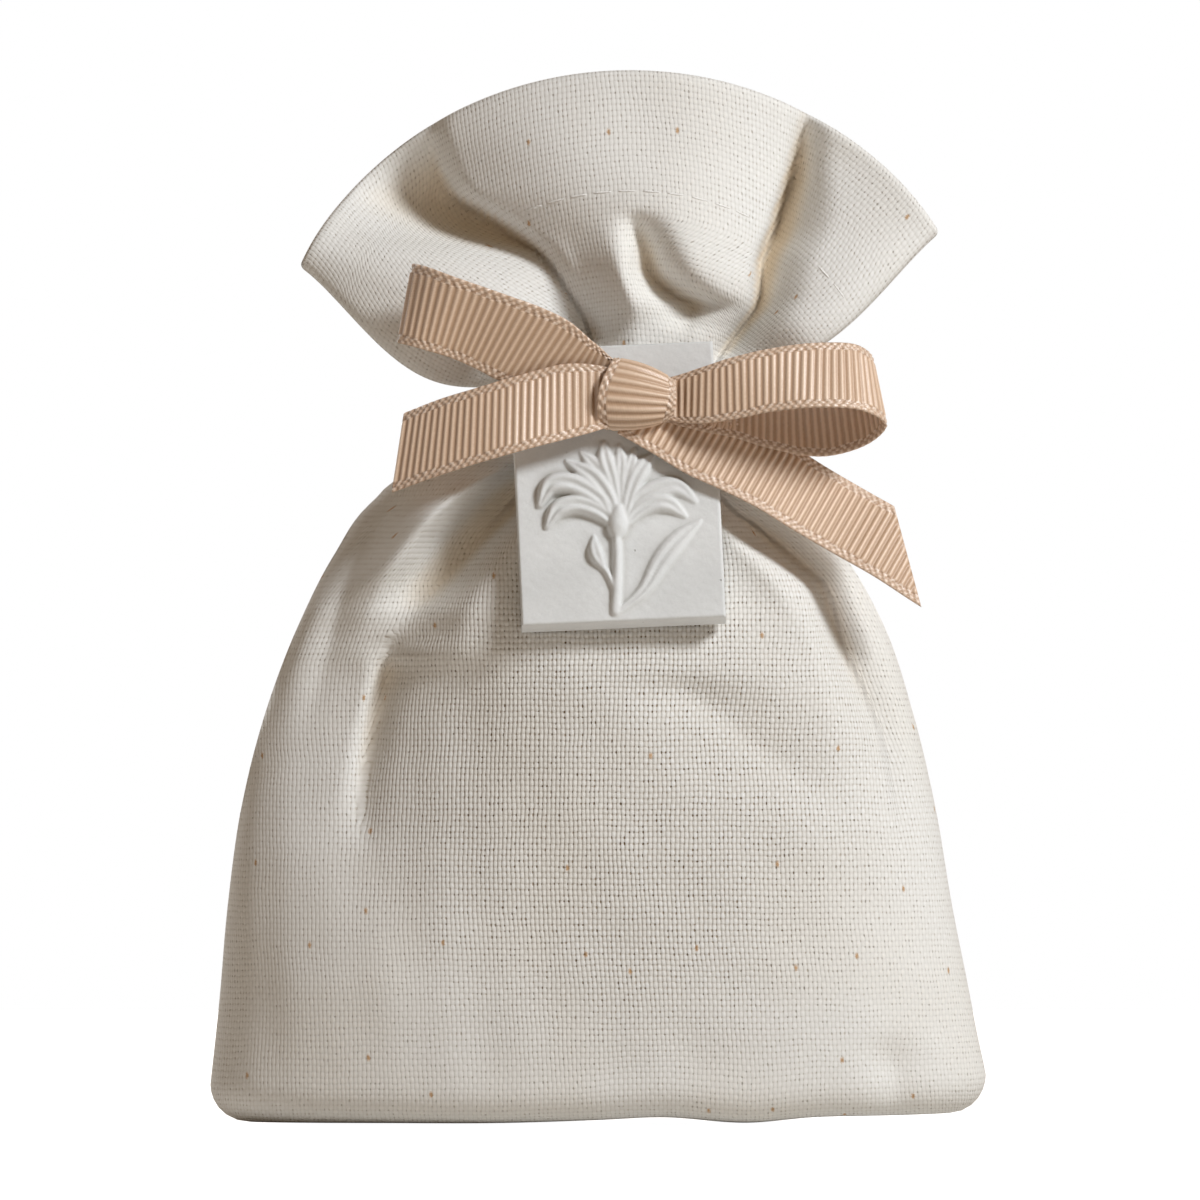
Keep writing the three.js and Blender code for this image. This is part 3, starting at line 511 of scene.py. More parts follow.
for face, points in panels.items():
    push = sum(high * lumps(points, size, seed) * uneven for high, size, seed in BELLY_LUMPS) * below_tie
    if face < 0:
        sink = fold_depth(points, BELLY_STEPS, step) + fold_depth(points, BELLY_FOLDS, groove)
    else:
        lengths = along_row(points)
        sink = np.zeros(lengths.shape)
        grown = eased(row_z, *PLEAT_RISE)[:, None]
        reach = PLEAT_REACH + PLEAT_SPREAD * (1 - grown)
        for k, place in enumerate(BACK_PLEATS):
            middle = np.array([np.interp(place + 0.05 * math.sin(3 * k), across, row) for row in lengths])
            high = PLEAT_DEPTH + PLEAT_MORE * math.sin(5 * k) ** 2
            sink -= high * grown * groove(lengths - middle[:, None], reach, reach)
    room = np.maximum(FOLD_ROOM * np.abs(points[..., 1]), 0.01)
    sink *= below_tie / (1 + (np.abs(sink) / room) ** FOLD_LIMIT) ** (1 / FOLD_LIMIT)
    blunt = BACK_BLUNT if face > 0 else 0
    sway = fold_depth(points, RUFFLE_STEPS, step, blunt) + fold_depth(points, RUFFLE_FOLDS, groove, blunt)
    high, size, seed = RUFFLE_LUMPS
    sway = (sway + high * lumps(points * (1, 0, 1), size, seed)) * opened[:, None]
    depth = sway + (sink if face < 0 else -sink)
    # How far each point lies below the cloth around it, which sets the painted warm shade of its folds.
    fold_shade_mask[face] = eased(depth - softened(depth, *FOLD_SHADE_REACH), *FOLD_SHADE_DEPTH)
    slope = np.gradient(sway, axis=1) / np.maximum(np.gradient(points[..., 0], axis=1), 0.05)
    hem_room = 2 * CLOTH * (np.minimum(np.hypot(1, slope), HEM_STEEP) - 1) * hem_share[:, None]
    panels[face] = points + outward(points, face) * push[..., None]
    panels[face][..., 1] += sink + sway - forward[:, None] - face * hem_room
    lift = spline(FOOT_WAVE[:, 0], FOOT_WAVE[:, 1:], points[..., 0].ravel()).reshape(push.shape)
    panels[face][..., 2] += lift * foot_share[:, None]

# Place of each point in the flat cloth, which carries the weave: the length of cloth from the foot up, and
# across from the middle. Cloth that is tucked away in a groove is skipped at the bottom of the groove.
FRONT_STILL, BACK_STILL = FOOT_ROWS + 30, FOOT_ROWS + 36  # rows of the belly below the folds
cloth_up = walked(panels[-1][:, COLUMNS // 2])


def column_of(line, points):
    """Column of a line's points in every row that it passes, and in the rows beyond its ends."""
    flat = points[:MOUTH_ROWS + 1]
    away = [(flat[..., 0] - x) ** 2 + (flat[..., 2] - z) ** 2 for x, z in line]
    found = sorted(np.unravel_index(np.argmin(a), a.shape) for a in away)
    return np.interp(np.arange(ROWS), *zip(*found))


def flat_across(points, face):
    lengths = along_row(points)
    plain = lengths - lengths[:, COLUMNS // 2][:, None]
    result = plain.copy()
    column = np.arange(COLUMNS + 1)
    if face < 0:
        grooves = [  # rows of a groove, crest beside it and its side, row that stays as it is, last row
            (BELLY_STEPS[0] + BELLY_STEPS[1], [(-19, 83), (-30.5, 72.6), (-34, 62), (-34, 48), (-34, 35)], -1,
             FRONT_STILL, BELLY_ROWS),
            (BELLY_FOLDS[0], [(24, 81), (33, 72), (38, 60), (42, 48), (44, 35)], 1, FRONT_STILL, BELLY_ROWS),
            (RUFFLE_STEPS[0], [(-30, 118), (-26, 112), (-14, 104)], -1, MOUTH_ROWS, TIE_ROWS),
            (RUFFLE_FOLDS[0], [(36, 118), (32, 112), (20, 102)], 1, MOUTH_ROWS, TIE_ROWS),
        ]
        for fold, crest, side, still, last in grooves:
            valley = column_of([(x, z) for z, x, *_ in fold], points)
            anchor = column_of(crest, points)
            fixed = np.interp(anchor[still], column, plain[still])
            for row in range(min(still, last), max(still, last)):
                hidden = fixed - np.interp(anchor[row], column, plain[row])
                result[row] += hidden * eased((column - valley[row]) * side, -0.8, 0.8)
    else:
        edges = np.array([-1.2, *BACK_PLEATS, 1.2])
        crests = np.clip((edges[:-1] + edges[1:]) / 2, -0.93, 0.93)
        spot = crests[np.clip(np.searchsorted(edges, across) - 1, 0, len(crests) - 1)]
        for still, first, last in ((BACK_STILL, BACK_STILL, TIE_ROWS), (MOUTH_ROWS, TIE_ROWS, MOUTH_ROWS)):
            for row in range(first, last):
                hidden = np.interp(spot, across, plain[row])
                result[row] = plain[row] - hidden + np.interp(spot, across, plain[still])
    return result


def grid_spots(verts, columns, rows):
    """Each point of a new grid, with its column and its row."""
    for vert in verts:
        yield vert, round((vert.co.x + 1) / 2 * columns), round((vert.co.y + 1) / 2 * rows)


def smooth_all(mesh):
    for face in mesh.faces:
        face.smooth = True


TAUT_X, TAUT_Z, TAUT_REACH = 4, 45, 44  # where the filling stretches the cloth and opens the weave
bag_mesh = bmesh.new()
weave = bag_mesh.loops.layers.uv.new("weave")
stretched = bag_mesh.verts.layers.float.new("stretched")
# share of the painted warm fold shade at each point
fold_shade = bag_mesh.verts.layers.float.new("fold_shade")
full = bag_mesh.verts.layers.deform.verify()
for face, points in panels.items():
    grid = bmesh.ops.create_grid(bag_mesh, x_segments=COLUMNS, y_segments=ROWS - 1, size=1)["verts"]
    cloth_across = flat_across(points, face)
    from_middle = np.hypot((points[..., 0] - TAUT_X) / TAUT_REACH, (points[..., 2] - TAUT_Z) / TAUT_REACH)
    taut = 1 - eased(from_middle, 0.35, 1.05)
    flat_place = {}
    for vert, column, row in grid_spots(grid, COLUMNS, ROWS - 1):
        vert.co = points[row, column] * MM
        vert[stretched] = taut[row, column]
        vert[fold_shade] = fold_shade_mask[face][row, column]
        vert[full][0] = 1 - (1 - HEM_PRESSED) * hem_share[row]
        flat_place[vert] = (cloth_across[row, column], cloth_up[row])
    panel_faces = {f for vert in grid for f in vert.link_faces}
    for cloth_face in panel_faces:
        for loop in cloth_face.loops:
            loop[weave].uv = flat_place[loop.vert]
    if face > 0:
        bmesh.ops.reverse_faces(bag_mesh, faces=list(panel_faces))
smooth_all(bag_mesh)
bmesh.ops.remove_doubles(bag_mesh, verts=bag_mesh.verts, dist=0.02 * MM)
bag = put_down("canvas_bag", bag_mesh)
thick = bag.modifiers.new("cloth", "SOLIDIFY")
thick.thickness = CLOTH * MM
thick.offset = -1
bag.vertex_groups.new(name="full_thickness")
thick.vertex_group = "full_thickness"

# The weave: upright yarns 0.59 mm apart and level yarns 0.77 mm apart, over and under by turns, thick and
# thin as spun cotton is, with a few flecks of seed husk. Shade is painted between the yarns, and dark
# ochre painted into the openings stands for the shade seen through them.
WARP, WEFT = 0.59, 0.77
YARN_ROUND, YARN_CROSSING, WEFT_LOW = 0.55, 0.65, 0.3  # rise of a yarn, rise where it crosses over
HUSK_SCALE, HUSK_SLIM, HUSK_RARE = 0.065, 1.7, 0.5
WANDER = (0.7, 0.7, 0)  # how far the yarns stray from straight lines
OPEN_WARP, OPEN_WEFT = (0.11, 0.13), (0.15, 0.14)  # least half width of an opening, more at thin yarns
YARN_PALE, YARN_WARM = (0.92, 0.914, 0.895), (0.91, 0.89, 0.845)
YARN_SHADOW, TAUT_SHADOW = (0.83, 0.82, 0.785), (0.765, 0.735, 0.675)
OPENING_SHADE, OPENING_DEEP_SHADE = (0.36, 0.22, 0.09), (0.2, 0.125, 0.055)
HUSK, FOLD_SHADE_COLOUR = (0.52, 0.27, 0.08), (0.93, 0.83, 0.70)
BY_YARN, FLAT_CELLS = {"noise_dimensions": "2D"}, {"voronoi_dimensions": "2D"}
canvas, start, shader = new_finish("canvas_weave", Roughness=0.92, Specular_IOR_Level=0)
flat = start.node("UVMap", {"uv_map": "weave"})
drift = flat.noise(0.11, 5, out=1)
drift = start.node("VectorMath", {"operation": "MULTIPLY_ADD"}, drift, WANDER, flat)
warp, weft = drift.part(0) / WARP, drift.part(1) / WEFT
warp_yarn, weft_yarn = warp.sum("FLOOR"), weft.sum("FLOOR")
warp_off, weft_off = warp - warp_yarn - 0.5, weft - weft_yarn - 0.5
turns = ((warp_yarn + weft_yarn) * math.pi).sum("COSINE")
warp_round, weft_round = ((1 - (off * 2.1).sum("POWER", 2)) * YARN_ROUND for off in (warp_off, weft_off))
warp_height = warp_round + turns * (weft_off * math.pi).sum("COSINE") * YARN_CROSSING
weft_height = weft_round - turns * (warp_off * math.pi).sum("COSINE") * YARN_CROSSING - WEFT_LOW
height = warp_height.sum("MAXIMUM", weft_height).sum("MAXIMUM", -0.5)
warp_corner, weft_corner = (warp + 0.5).sum("FLOOR"), (weft + 0.5).sum("FLOOR")
warp_thin = start.node("CombineXYZ", {}, warp_corner * 7.3, weft * 0.4).noise(1, 1)
weft_thin = start.node("CombineXYZ", {}, weft_corner * 5.9 + 31, warp * 0.4).noise(1, 1)
warp_open = OPEN_WARP[0] + warp_thin.ease(0.3, 0.8) * OPEN_WARP[1]
weft_open = OPEN_WEFT[0] + weft_thin.ease(0.3, 0.8) * OPEN_WEFT[1]
hole = ((warp - warp_corner) / warp_open).sum("POWER", 2) + ((weft - weft_corner) / weft_open).sum("POWER", 2)
chance = start.node("TexWhiteNoise", BY_YARN, start.node("CombineXYZ", {}, warp_corner, weft_corner))
taut = start.node("Attribute", {"attribute_name": "stretched"}, out="Fac")
hole = (1 - hole.ease(0.1, 1.6)) * (0.1 + chance.sum("POWER", 2) * 0.9) * (0.4 + taut * 0.6)
fibre = flat.noise(5.5, 2)
pale = flat.noise(0.045, 2).ease(0.35, 0.7).tint(YARN_PALE, YARN_WARM)
shadow = taut.tint(YARN_SHADOW, TAUT_SHADOW)
float_tone = start.node("TexWhiteNoise", BY_YARN, start.node("CombineXYZ", {}, warp_yarn, weft_yarn))
bead = (height * 0.95 + fibre * 0.5 - 0.25).ease(0.15, 1.1) * (0.6 + float_tone * 0.4)
yarn = (bead * (0.75 + (warp_thin + weft_thin) * 0.25)).tint(shadow, pale)
upright = start.node("VectorMath", {"operation": "MULTIPLY"}, flat, (HUSK_SLIM, 1, 1))
husk_place = start.node("TexVoronoi", FLAT_CELLS, upright, Scale=HUSK_SCALE, Randomness=1)
husk_kind = start.node("TexVoronoi", FLAT_CELLS, upright, Scale=HUSK_SCALE, Randomness=1, out=1).part(0)
husk = (1 - (husk_place + fibre * 0.04).ease(0.03, 0.06)) * husk_kind.sum("GREATER_THAN", HUSK_RARE)
# Painted shade: the openings between the yarns are coloured dark ochre, for the shade seen through them.
colour = hole.tint(yarn, chance.ease(0.75, 1).tint(OPENING_SHADE, OPENING_DEEP_SHADE))
colour = (husk * 0.8).tint(colour, HUSK)
# Painted shade: cloth deep in a fold is darkened towards a warm golden tone.
fold_shade_tint = start.node("Attribute", {"attribute_name": "fold_shade"}, out="Fac").tint(WHITE, FOLD_SHADE_COLOUR)
colour = start.node("VectorMath", {"operation": "MULTIPLY"}, colour, fold_shade_tint)
bumps = (height * 0.5 + fibre * 0.15) * (0.35 + taut * 0.65) - hole * 0.6
dress(shader, colour, height=bumps, depth=0.28 * MM)
bag.data.materials.append(canvas)
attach(bag, "sachet")
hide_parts("bag_cloth")

# Hem stitches. The turned-in mouth is held by a row of white cotton stitches, 16 mm below the edge, sewn
# through the outer cloth and the hem, on the front and on the back.
STITCH, STITCH_GAP, STITCH_THICK = 2.5, 0.8, 0.28
SEAM_CLEAR = 2.2  # from a side seam to the first stitch
THREAD_SHADE, THREAD_PALE = (0.84, 0.825, 0.795), (0.95, 0.945, 0.93)
STITCH_BEND, STITCH_TURN = 0.12, 0.6 * STITCH  # a stitch is left out where the cloth bends or turns more
hem_row = TIE_ROWS + int(np.argmin(np.abs(ruffle_t[:OUTER_LAYERS] - (1 - HEM / RUFFLE_MIDDLE))))
stitch_mesh = bmesh.new()
for face, points in panels.items():
    line = points[hem_row] + outward(points, face)[hem_row] * (STITCH_THICK * 0.1)
    lengths = along_row(points)[hem_row]
    for begin in np.arange(SEAM_CLEAR, lengths[-1] - SEAM_CLEAR, STITCH + STITCH_GAP):
        marks = (begin, begin + STITCH / 2, begin + STITCH)
        head, waist, tail = np.stack([np.interp(marks, lengths, line[:, k]) for k in range(3)], axis=1)
        if np.linalg.norm(waist - (head + tail) / 2) > STITCH_BEND or abs(tail[1] - head[1]) > STITCH_TURN:
            continue
        run = Vector(tail - head)
        laid = run.to_track_quat("X", "Z").to_matrix().to_4x4()
        spot = Matrix.Translation(Vector(head + tail) / 2 * MM) @ laid
        spot = spot @ Matrix.Diagonal((run.length / 2 * MM, STITCH_THICK / 2 * MM, STITCH_THICK / 2 * MM, 1))
        bmesh.ops.create_icosphere(stitch_mesh, subdivisions=2, radius=1, matrix=spot)
smooth_all(stitch_mesh)
stitches = put_down("hem_stitches", stitch_mesh)
thread, start, shader = new_finish("sewing_thread", Roughness=0.7, Specular_IOR_Level=0.3)
twist = start.node("TexNoise", {}, start.node("TexCoord", out="Object"), Scale=2600, Detail=2)
colour = twist.ease(0.3, 0.7).tint(THREAD_SHADE, THREAD_PALE)
dress(shader, colour, height=twist, depth=0.05 * MM)
stitches.data.materials.append(thread)
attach(stitches, "sachet")

# Inner pouch. Two webs of thin non-woven cloth, welded round the edge, hold the filling. The weld draws the
# webs in, so that they pucker just inside it.
POUCH = (64, 70)  # width and height
POUCH_MIDDLE = 38.1
POUCH_SWELL = 13.6  # from the weld to the fullest place of one web
POUCH_WEB = 0.3
WELD = 4
CORNERS_IN = 0.4  # how far the weld draws the corners in
PUCKERS, PUCKER_WIDE, PUCKER_RISE = 34, 0.16, 0.5
WEB_SHADE, WEB_PALE = (0.72, 0.70, 0.66), (0.90, 0.89, 0.86)


def lens(share, power=0.7):
    return np.clip(1 - share * share, 0, 1) ** power


nonwoven, start, shader = new_finish("nonwoven_web", Roughness=0.85, Specular_IOR_Level=0.25)
web_place = start.node("TexCoord", out="Object")
fibres = start.node("TexNoise", {}, web_place, Scale=900, Detail=5, Distortion=2)
dots = start.node("TexVoronoi", {}, web_place, Scale=700)
colour = (fibres * 0.7 + dots * 0.4).ease(0.2, 0.8).tint(WEB_SHADE, WEB_PALE)
dress(shader, colour, height=fibres * 0.6 + dots.ease(0.1, 0.4), depth=0.1 * MM)
for name, node, face in (("pouch_front", "pouch_front_web", -1), ("pouch_back", "pouch_back_web", 1)):
    web_mesh = bmesh.new()
    bmesh.ops.create_grid(web_mesh, x_segments=72, y_segments=64, size=1)
    for vert in web_mesh.verts:
        share = max(abs(vert.co.x), abs(vert.co.y)) / (1 - 2 * WELD / POUCH[1])
        x = vert.co.x * math.sqrt(1 - CORNERS_IN * vert.co.y**2)
        z = vert.co.y * math.sqrt(1 - CORNERS_IN * vert.co.x**2)
        rise = POUCH_SWELL * float(lens(min(share, 1)))
        angle = math.atan2(z, x)
        wave = math.sin(PUCKERS * angle + 2 * math.sin(5 * angle))
        pucker = PUCKER_RISE * math.exp(-(((1 - share) / PUCKER_WIDE) ** 2)) * wave
        rise = max(rise + pucker * min(1, rise / 2), 0) + POUCH_WEB / 2 + 0.05
        vert.co = (x * POUCH[0] / 2 * MM, face * rise * MM, (POUCH_MIDDLE + z * POUCH[1] / 2) * MM)
    smooth_all(web_mesh)
    bmesh.ops.recalc_face_normals(web_mesh, faces=web_mesh.faces)
    web = put_down(name, web_mesh)
    thick = web.modifiers.new("web", "SOLIDIFY")
    thick.thickness = POUCH_WEB * MM
    thick.offset = 0
    web.data.materials.append(nonwoven)
    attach(web, "sachet")
    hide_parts(node)

# Filling. Loose scented granules, 2 to 3 mm in size, poured in before the pouch's last edge is welded.
# They fill out the pouch and the bag, and are made here as one lump with the grains in its surface.
FILL_CLEAR, FILL_UNDER = 1.5, 1.2  # from the filling to the weld and to the web
FILL = (POUCH[0] / 2 - WELD - FILL_CLEAR, POUCH_SWELL - FILL_UNDER, POUCH[1] / 2 - WELD - FILL_CLEAR)
fill_mesh = bmesh.new()
bmesh.ops.create_icosphere(fill_mesh, subdivisions=6, radius=1)
for vert in fill_mesh.verts:
    x, y, z = vert.co
    thick_here = math.copysign(float(lens(math.hypot(x, z))), y)
    vert.co = (x * FILL[0] * MM, thick_here * FILL[1] * MM, (POUCH_MIDDLE + z * FILL[2]) * MM)
smooth_all(fill_mesh)
bmesh.ops.recalc_face_normals(fill_mesh, faces=fill_mesh.faces)
fill = put_down("granule_fill", fill_mesh)
granules, start, shader = new_finish("granules", Roughness=0.8, Specular_IOR_Level=0.25)
grain_place = start.node("TexCoord", out="Object")
GRAINS = 400  # to the metre
GRAIN_BROWN, GRAIN_TAN, GRAIN_GAP_SHADE = (0.30, 0.21, 0.11), (0.62, 0.52, 0.36), (0.10, 0.065, 0.03)
grains = start.node("TexVoronoi", {"feature": "SMOOTH_F1"}, grain_place, Scale=GRAINS, Smoothness=0.2)
kind = start.node("TexVoronoi", {}, grain_place, Scale=GRAINS, out=1)
hue = kind.part(0).tint(GRAIN_BROWN, GRAIN_TAN)
# Painted shade: the gaps between the grains are coloured dark.
dress(shader, grains.ease(0.2, 0.7).tint(hue, GRAIN_GAP_SHADE), height=1 - grains, depth=0.8 * MM)
fill.data.materials.append(granules)
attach(fill, "sachet")
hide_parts("scent_granules")

# Grosgrain ribbon. One 10 mm ribbon with cords across it and a woven edge on each side goes round the neck,
# through the hole of the tag and into a bow. Each stretch is a flat grid of ribbon, laid along its route,
# with its cords, its two rows of edge turns and the stitch line between them raised in the mesh.
RIBBON = 10
RIB = 1.02  # from cord to cord
RIB_RISE = 0.22
RIBBON_THICK = 0.16  # between the cords of one face and those of the other
PER_RIB = 8  # steps of the grid along one cord's width
KNOT = np.array((4.8, -15.5, 97.1))  # middle of the knot, which the routes are measured from
FACE_EDGE, STITCH_EDGE, ROW_EDGE = 3.9, 4.15, 4.52  # from the middle: cords, stitch line, inner row of turns
STITCH_RATE = 0.8  # stitches to a cord
STITCH_RISE, TURN_RISE = (0.07, 0.09), (0.10, 0.12)  # mean height of each, and its wave
INNER_ROW, OUTER_ROW, ROW_HALF = 4.3, 4.76, 0.26  # middles of the two rows of turns, and their half width
RIBBON_YARN = 0.21
CORD_GROOVE_SHADE, CORD_CREST = (0.5, 0.315, 0.19), (0.79, 0.585, 0.425)
TURN_SHADE, TURN_PALE = (0.55, 0.365, 0.24), (0.80, 0.62, 0.48)
STITCH_SHADE, STITCH_PALE = (0.47, 0.295, 0.185), (0.82, 0.65, 0.52)
half_strands = (5, 4.82, 4.62, 4.42, 4.24, 4.1, 3.96, 3.82, 3.64, 2.6, 1.3)
strands = np.array([-s for s in half_strands] + [0] + list(reversed(half_strands)))


def ribbon_relief(along, aside):
    """Rise of the ribbon's face: cords in the middle, a stitch line, then two rows of turns at the edge."""
    turn = along / RIB
    off = turn - np.floor(turn) - 0.5
    cords = RIB_RISE * np.cos(math.pi * off) ** 2
    edge = np.abs(aside)
    stitch = STITCH_RISE[0] + STITCH_RISE[1] * np.cos(2 * math.pi * turn * STITCH_RATE)
    twist = np.where(edge > ROW_EDGE, 0.5, 0)
    row = 1 - ((edge - np.where(edge > ROW_EDGE, OUTER_ROW, INNER_ROW)) / ROW_HALF) ** 2
    turns = (TURN_RISE[0] + TURN_RISE[1] * np.cos(2 * math.pi * (turn + twist))) * np.clip(row, 0.2, 1)
    return np.where(edge < FACE_EDGE, cords, np.where(edge < STITCH_EDGE, stitch, turns))


grosgrain, start, shader = new_finish(
    "grosgrain_ribbon", Roughness=0.36, Specular_IOR_Level=0.9, Sheen_Weight=0.15, Sheen_Roughness=0.4,
)
flat = start.node("UVMap", {"uv_map": "ribs"})
along, aside = flat.part(0) / RIB, flat.part(1)
off = along - along.sum("FLOOR") - 0.5
crest = (off * math.pi).sum("COSINE").sum("POWER", 2)
edge = aside.sum("ABSOLUTE")
yarns = (aside * (2 * math.pi / RIBBON_YARN) + along * 5).sum("SINE")
fuzz = flat.noise(2.2, 3)
# Painted shade: the ribbon's face is darker in the grooves between the cords and paler on their crests.
face_colour = (crest * 0.8 + fuzz * 0.3 + yarns * 0.05).ease(0.15, 1)
face_colour = face_colour.tint(CORD_GROOVE_SHADE, CORD_CREST)
turns = ((along + edge.sum("GREATER_THAN", ROW_EDGE) * 0.5) * (2 * math.pi)).sum("COSINE")
edge_colour = (turns * 0.4 + fuzz).ease(0.2, 1).tint(TURN_SHADE, TURN_PALE)
dash = (along * (2 * math.pi * STITCH_RATE)).sum("COSINE").ease(-0.2, 0.3)
stitch_colour = dash.tint(STITCH_SHADE, STITCH_PALE)
colour = edge.ease(FACE_EDGE - 0.05, FACE_EDGE + 0.03).tint(face_colour, stitch_colour)
colour = edge.ease(STITCH_EDGE - 0.05, STITCH_EDGE + 0.05).tint(colour, edge_colour)
dress(shader, colour, height=yarns * 0.3 + fuzz * 0.5, depth=0.02 * MM)
both_faces = np.concatenate([strands, strands[::-1], strands[:1]])  # across the front, back and shut
facing = np.concatenate([np.ones(len(strands)), -np.ones(len(strands)), [1]])
strand_of = np.concatenate([np.arange(len(strands)), np.arange(len(strands))[::-1], [0]])


def weave_ribbon(name, node, body, route, swell=None, cut=None, ribbing=1):
    """A stretch of ribbon along a route, whose rows give its upper and its lower edge from the knot's middle.
    swell bends it across its width, cut is a point and a direction where its end is cut off, and ribbing
    deepens its cords where a tight turn spreads them."""
    rows = np.array(route, float).reshape(len(route), 6)
    middles = (rows[:, :3] + rows[:, 3:]) / 2
    knots = walked(middles)
    fine = np.linspace(0, knots[-1], 600)
    path = spline(knots, rows, fine)
    real = walked((path[:, :3] + path[:, 3:]) / 2)
    along = np.arange(0, real[-1], RIB / PER_RIB)
    edges = spline(knots, rows, np.interp(along, real, fine))
    share = strands[None, :, None] / RIBBON + 0.5
    points = edges[:, None, 3:] + (edges[:, None, :3] - edges[:, None, 3:]) * share
    normal = np.cross(np.gradient(points, axis=0), np.gradient(points, axis=1))
    normal /= np.maximum(np.linalg.norm(normal, axis=2, keepdims=True), 1e-9)
    rise = RIBBON_THICK / 2 + ribbing * ribbon_relief(along[:, None], both_faces[None, :])
    rise = rise * facing + (swell(both_faces) if swell else 0)
    points = points[:, strand_of] + normal[:, strand_of] * rise[..., None] + KNOT
    mesh = bmesh.new()
    ribs = mesh.loops.layers.uv.new("ribs")
    bmesh.ops.create_grid(mesh, x_segments=len(along) - 1, y_segments=len(both_faces) - 1, size=1)
    for vert, i, j in grid_spots(mesh.verts, len(along) - 1, len(both_faces) - 1):
        vert.co = points[i, j] * MM
        flat_place = (along[i], both_faces[j])
        for loop in vert.link_loops:
            loop[ribs].uv = flat_place
    smooth_all(mesh)
    bmesh.ops.remove_doubles(mesh, verts=mesh.verts, dist=0.001 * MM)
    if cut:
        whole = mesh.verts[:] + mesh.edges[:] + mesh.faces[:]
        spot = (np.array(cut[0]) + KNOT) * MM
        bmesh.ops.bisect_plane(mesh, geom=whole, plane_co=spot, plane_no=cut[1], clear_outer=True)
    bmesh.ops.holes_fill(mesh, edges=[e for e in mesh.edges if e.is_boundary], sides=0)
    bmesh.ops.recalc_face_normals(mesh, faces=mesh.faces)
    ribbon = put_down(name, mesh)
    ribbon.data.materials.append(grosgrain)
    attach(ribbon, body)
    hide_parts(node)


BAND_CLEAR, BAND_SQUARE = 0.5, 0.55  # from the tied cloth to the band, and power of the band's round
BAND_LOW, BAND_HIGH = 90.7, 97.3
ring = np.radians(np.arange(-90, 280, 10))
round_neck = np.stack([
    NECK_SHIFT + (NECK[0] + BAND_CLEAR) * np.sign(np.cos(ring)) * np.abs(np.cos(ring)) ** BAND_SQUARE,
    (NECK[1] + BAND_CLEAR) * np.sign(np.sin(ring)) * np.abs(np.sin(ring)) ** BAND_SQUARE,
    np.zeros(len(ring)),
], axis=1)
weave_ribbon(
    "neck_band", "ribbon_neck_band", "sachet",
    [(point + (0, 0, BAND_HIGH) - KNOT, point + (0, 0, BAND_LOW) - KNOT) for point in round_neck],
    swell=lambda w: 0.25 - 0.25 * np.cos(2 * math.pi * 2 * w / RIBBON),
)
weave_ribbon(
    "tag_strand", "ribbon_tag_strand", "sachet",
    [((-5.2, y, -1.6), (-0.8, y, -1.6)) for y in (3.2, 4.8, 6.4, 8, 9.6)],
    swell=lambda w: 1.6 * np.sin(2 * math.pi * 3 * w / RIBBON),
)
weave_ribbon(
    "right_loop", "ribbon_right_loop", "sachet",
    [
        ((2.6, 1, 2), (2.6, -0.4, -2.8)), ((5.5, 0.4, 2.7), (5.5, -1.2, -3.5)),
        ((8.9, -1.2, 3.8), (8.7, -3.1, -3.7)), ((12.6, -2.4, 5), (12.8, -4.9, -3.2)),
        ((17.7, -3.2, 6.2), (17.7, -6.6, -2.2)), ((24.6, -3.4, 7), (24.4, -7.9, -1.6)),
        ((29.4, -2.2, 6.7), (30, -7, -2)), ((31.4, 1.4, 4.9), (33.2, -3.4, -3.9)),
        ((29.9, 5, 2.6), (31.2, 0, -6.2)), ((24.6, 6.4, 0.6), (25.4, 1.6, -8)),
        ((17.9, 5.4, 1.4), (17.9, 1.4, -7)), ((13, 3.9, 2.2), (12.8, 0.7, -5.5)),
        ((9, 2.7, 2.4), (8.7, 0.3, -4.7)), ((5.5, 1.8, 2.4), (5.5, 0.2, -3.9)),
        ((2.6, 1.4, 2), (2.6, 0.6, -3)),
    ],
)
weave_ribbon(
    "left_loop", "ribbon_left_loop", "sachet",
    [
        ((-1.9, 0.8, 4.3), (-2.4, 1.3, 1.6)), ((-3.3, 0.5, 5.1), (-4.4, 1.5, 1.6)),
        ((-4.5, -0.2, 6.2), (-6.8, 1.6, 1.1)), ((-6.1, -1.1, 7.5), (-10.7, 1.4, 0.8)),
        ((-8.8, -1.8, 9.8), (-14.5, 1.4, 1.1)), ((-12.4, -2.5, 11.6), (-18.1, 1.2, 2)),
        ((-16.5, -3, 13.1), (-21.3, 0.8, 3.6)), ((-20.8, -3.2, 14.6), (-24.5, 0.2, 5)),
        ((-24.8, -3, 16), (-27.5, -0.5, 5.9)), ((-27.7, -1.6, 17.1), (-29.9, -0.2, 6.6)),
        ((-29.6, 0.6, 17.6), (-31.6, 1.2, 7)), ((-28, 2.6, 17), (-29.9, 2.9, 6.7)),
        ((-23.5, 3.6, 15.3), (-25, 3.4, 5.4)), ((-18.5, 3.5, 13.4), (-19, 3.2, 2.9)),
        ((-14, 3.2, 11.6), (-13.6, 3.1, 1.5)), ((-9.6, 2.9, 9), (-9.4, 2.9, 1.3)),
        ((-5.5, 2.6, 5.8), (-5.5, 2.6, 1.9)), ((-2.6, 2.2, 4), (-2.6, 2.2, 2)),
    ],
)
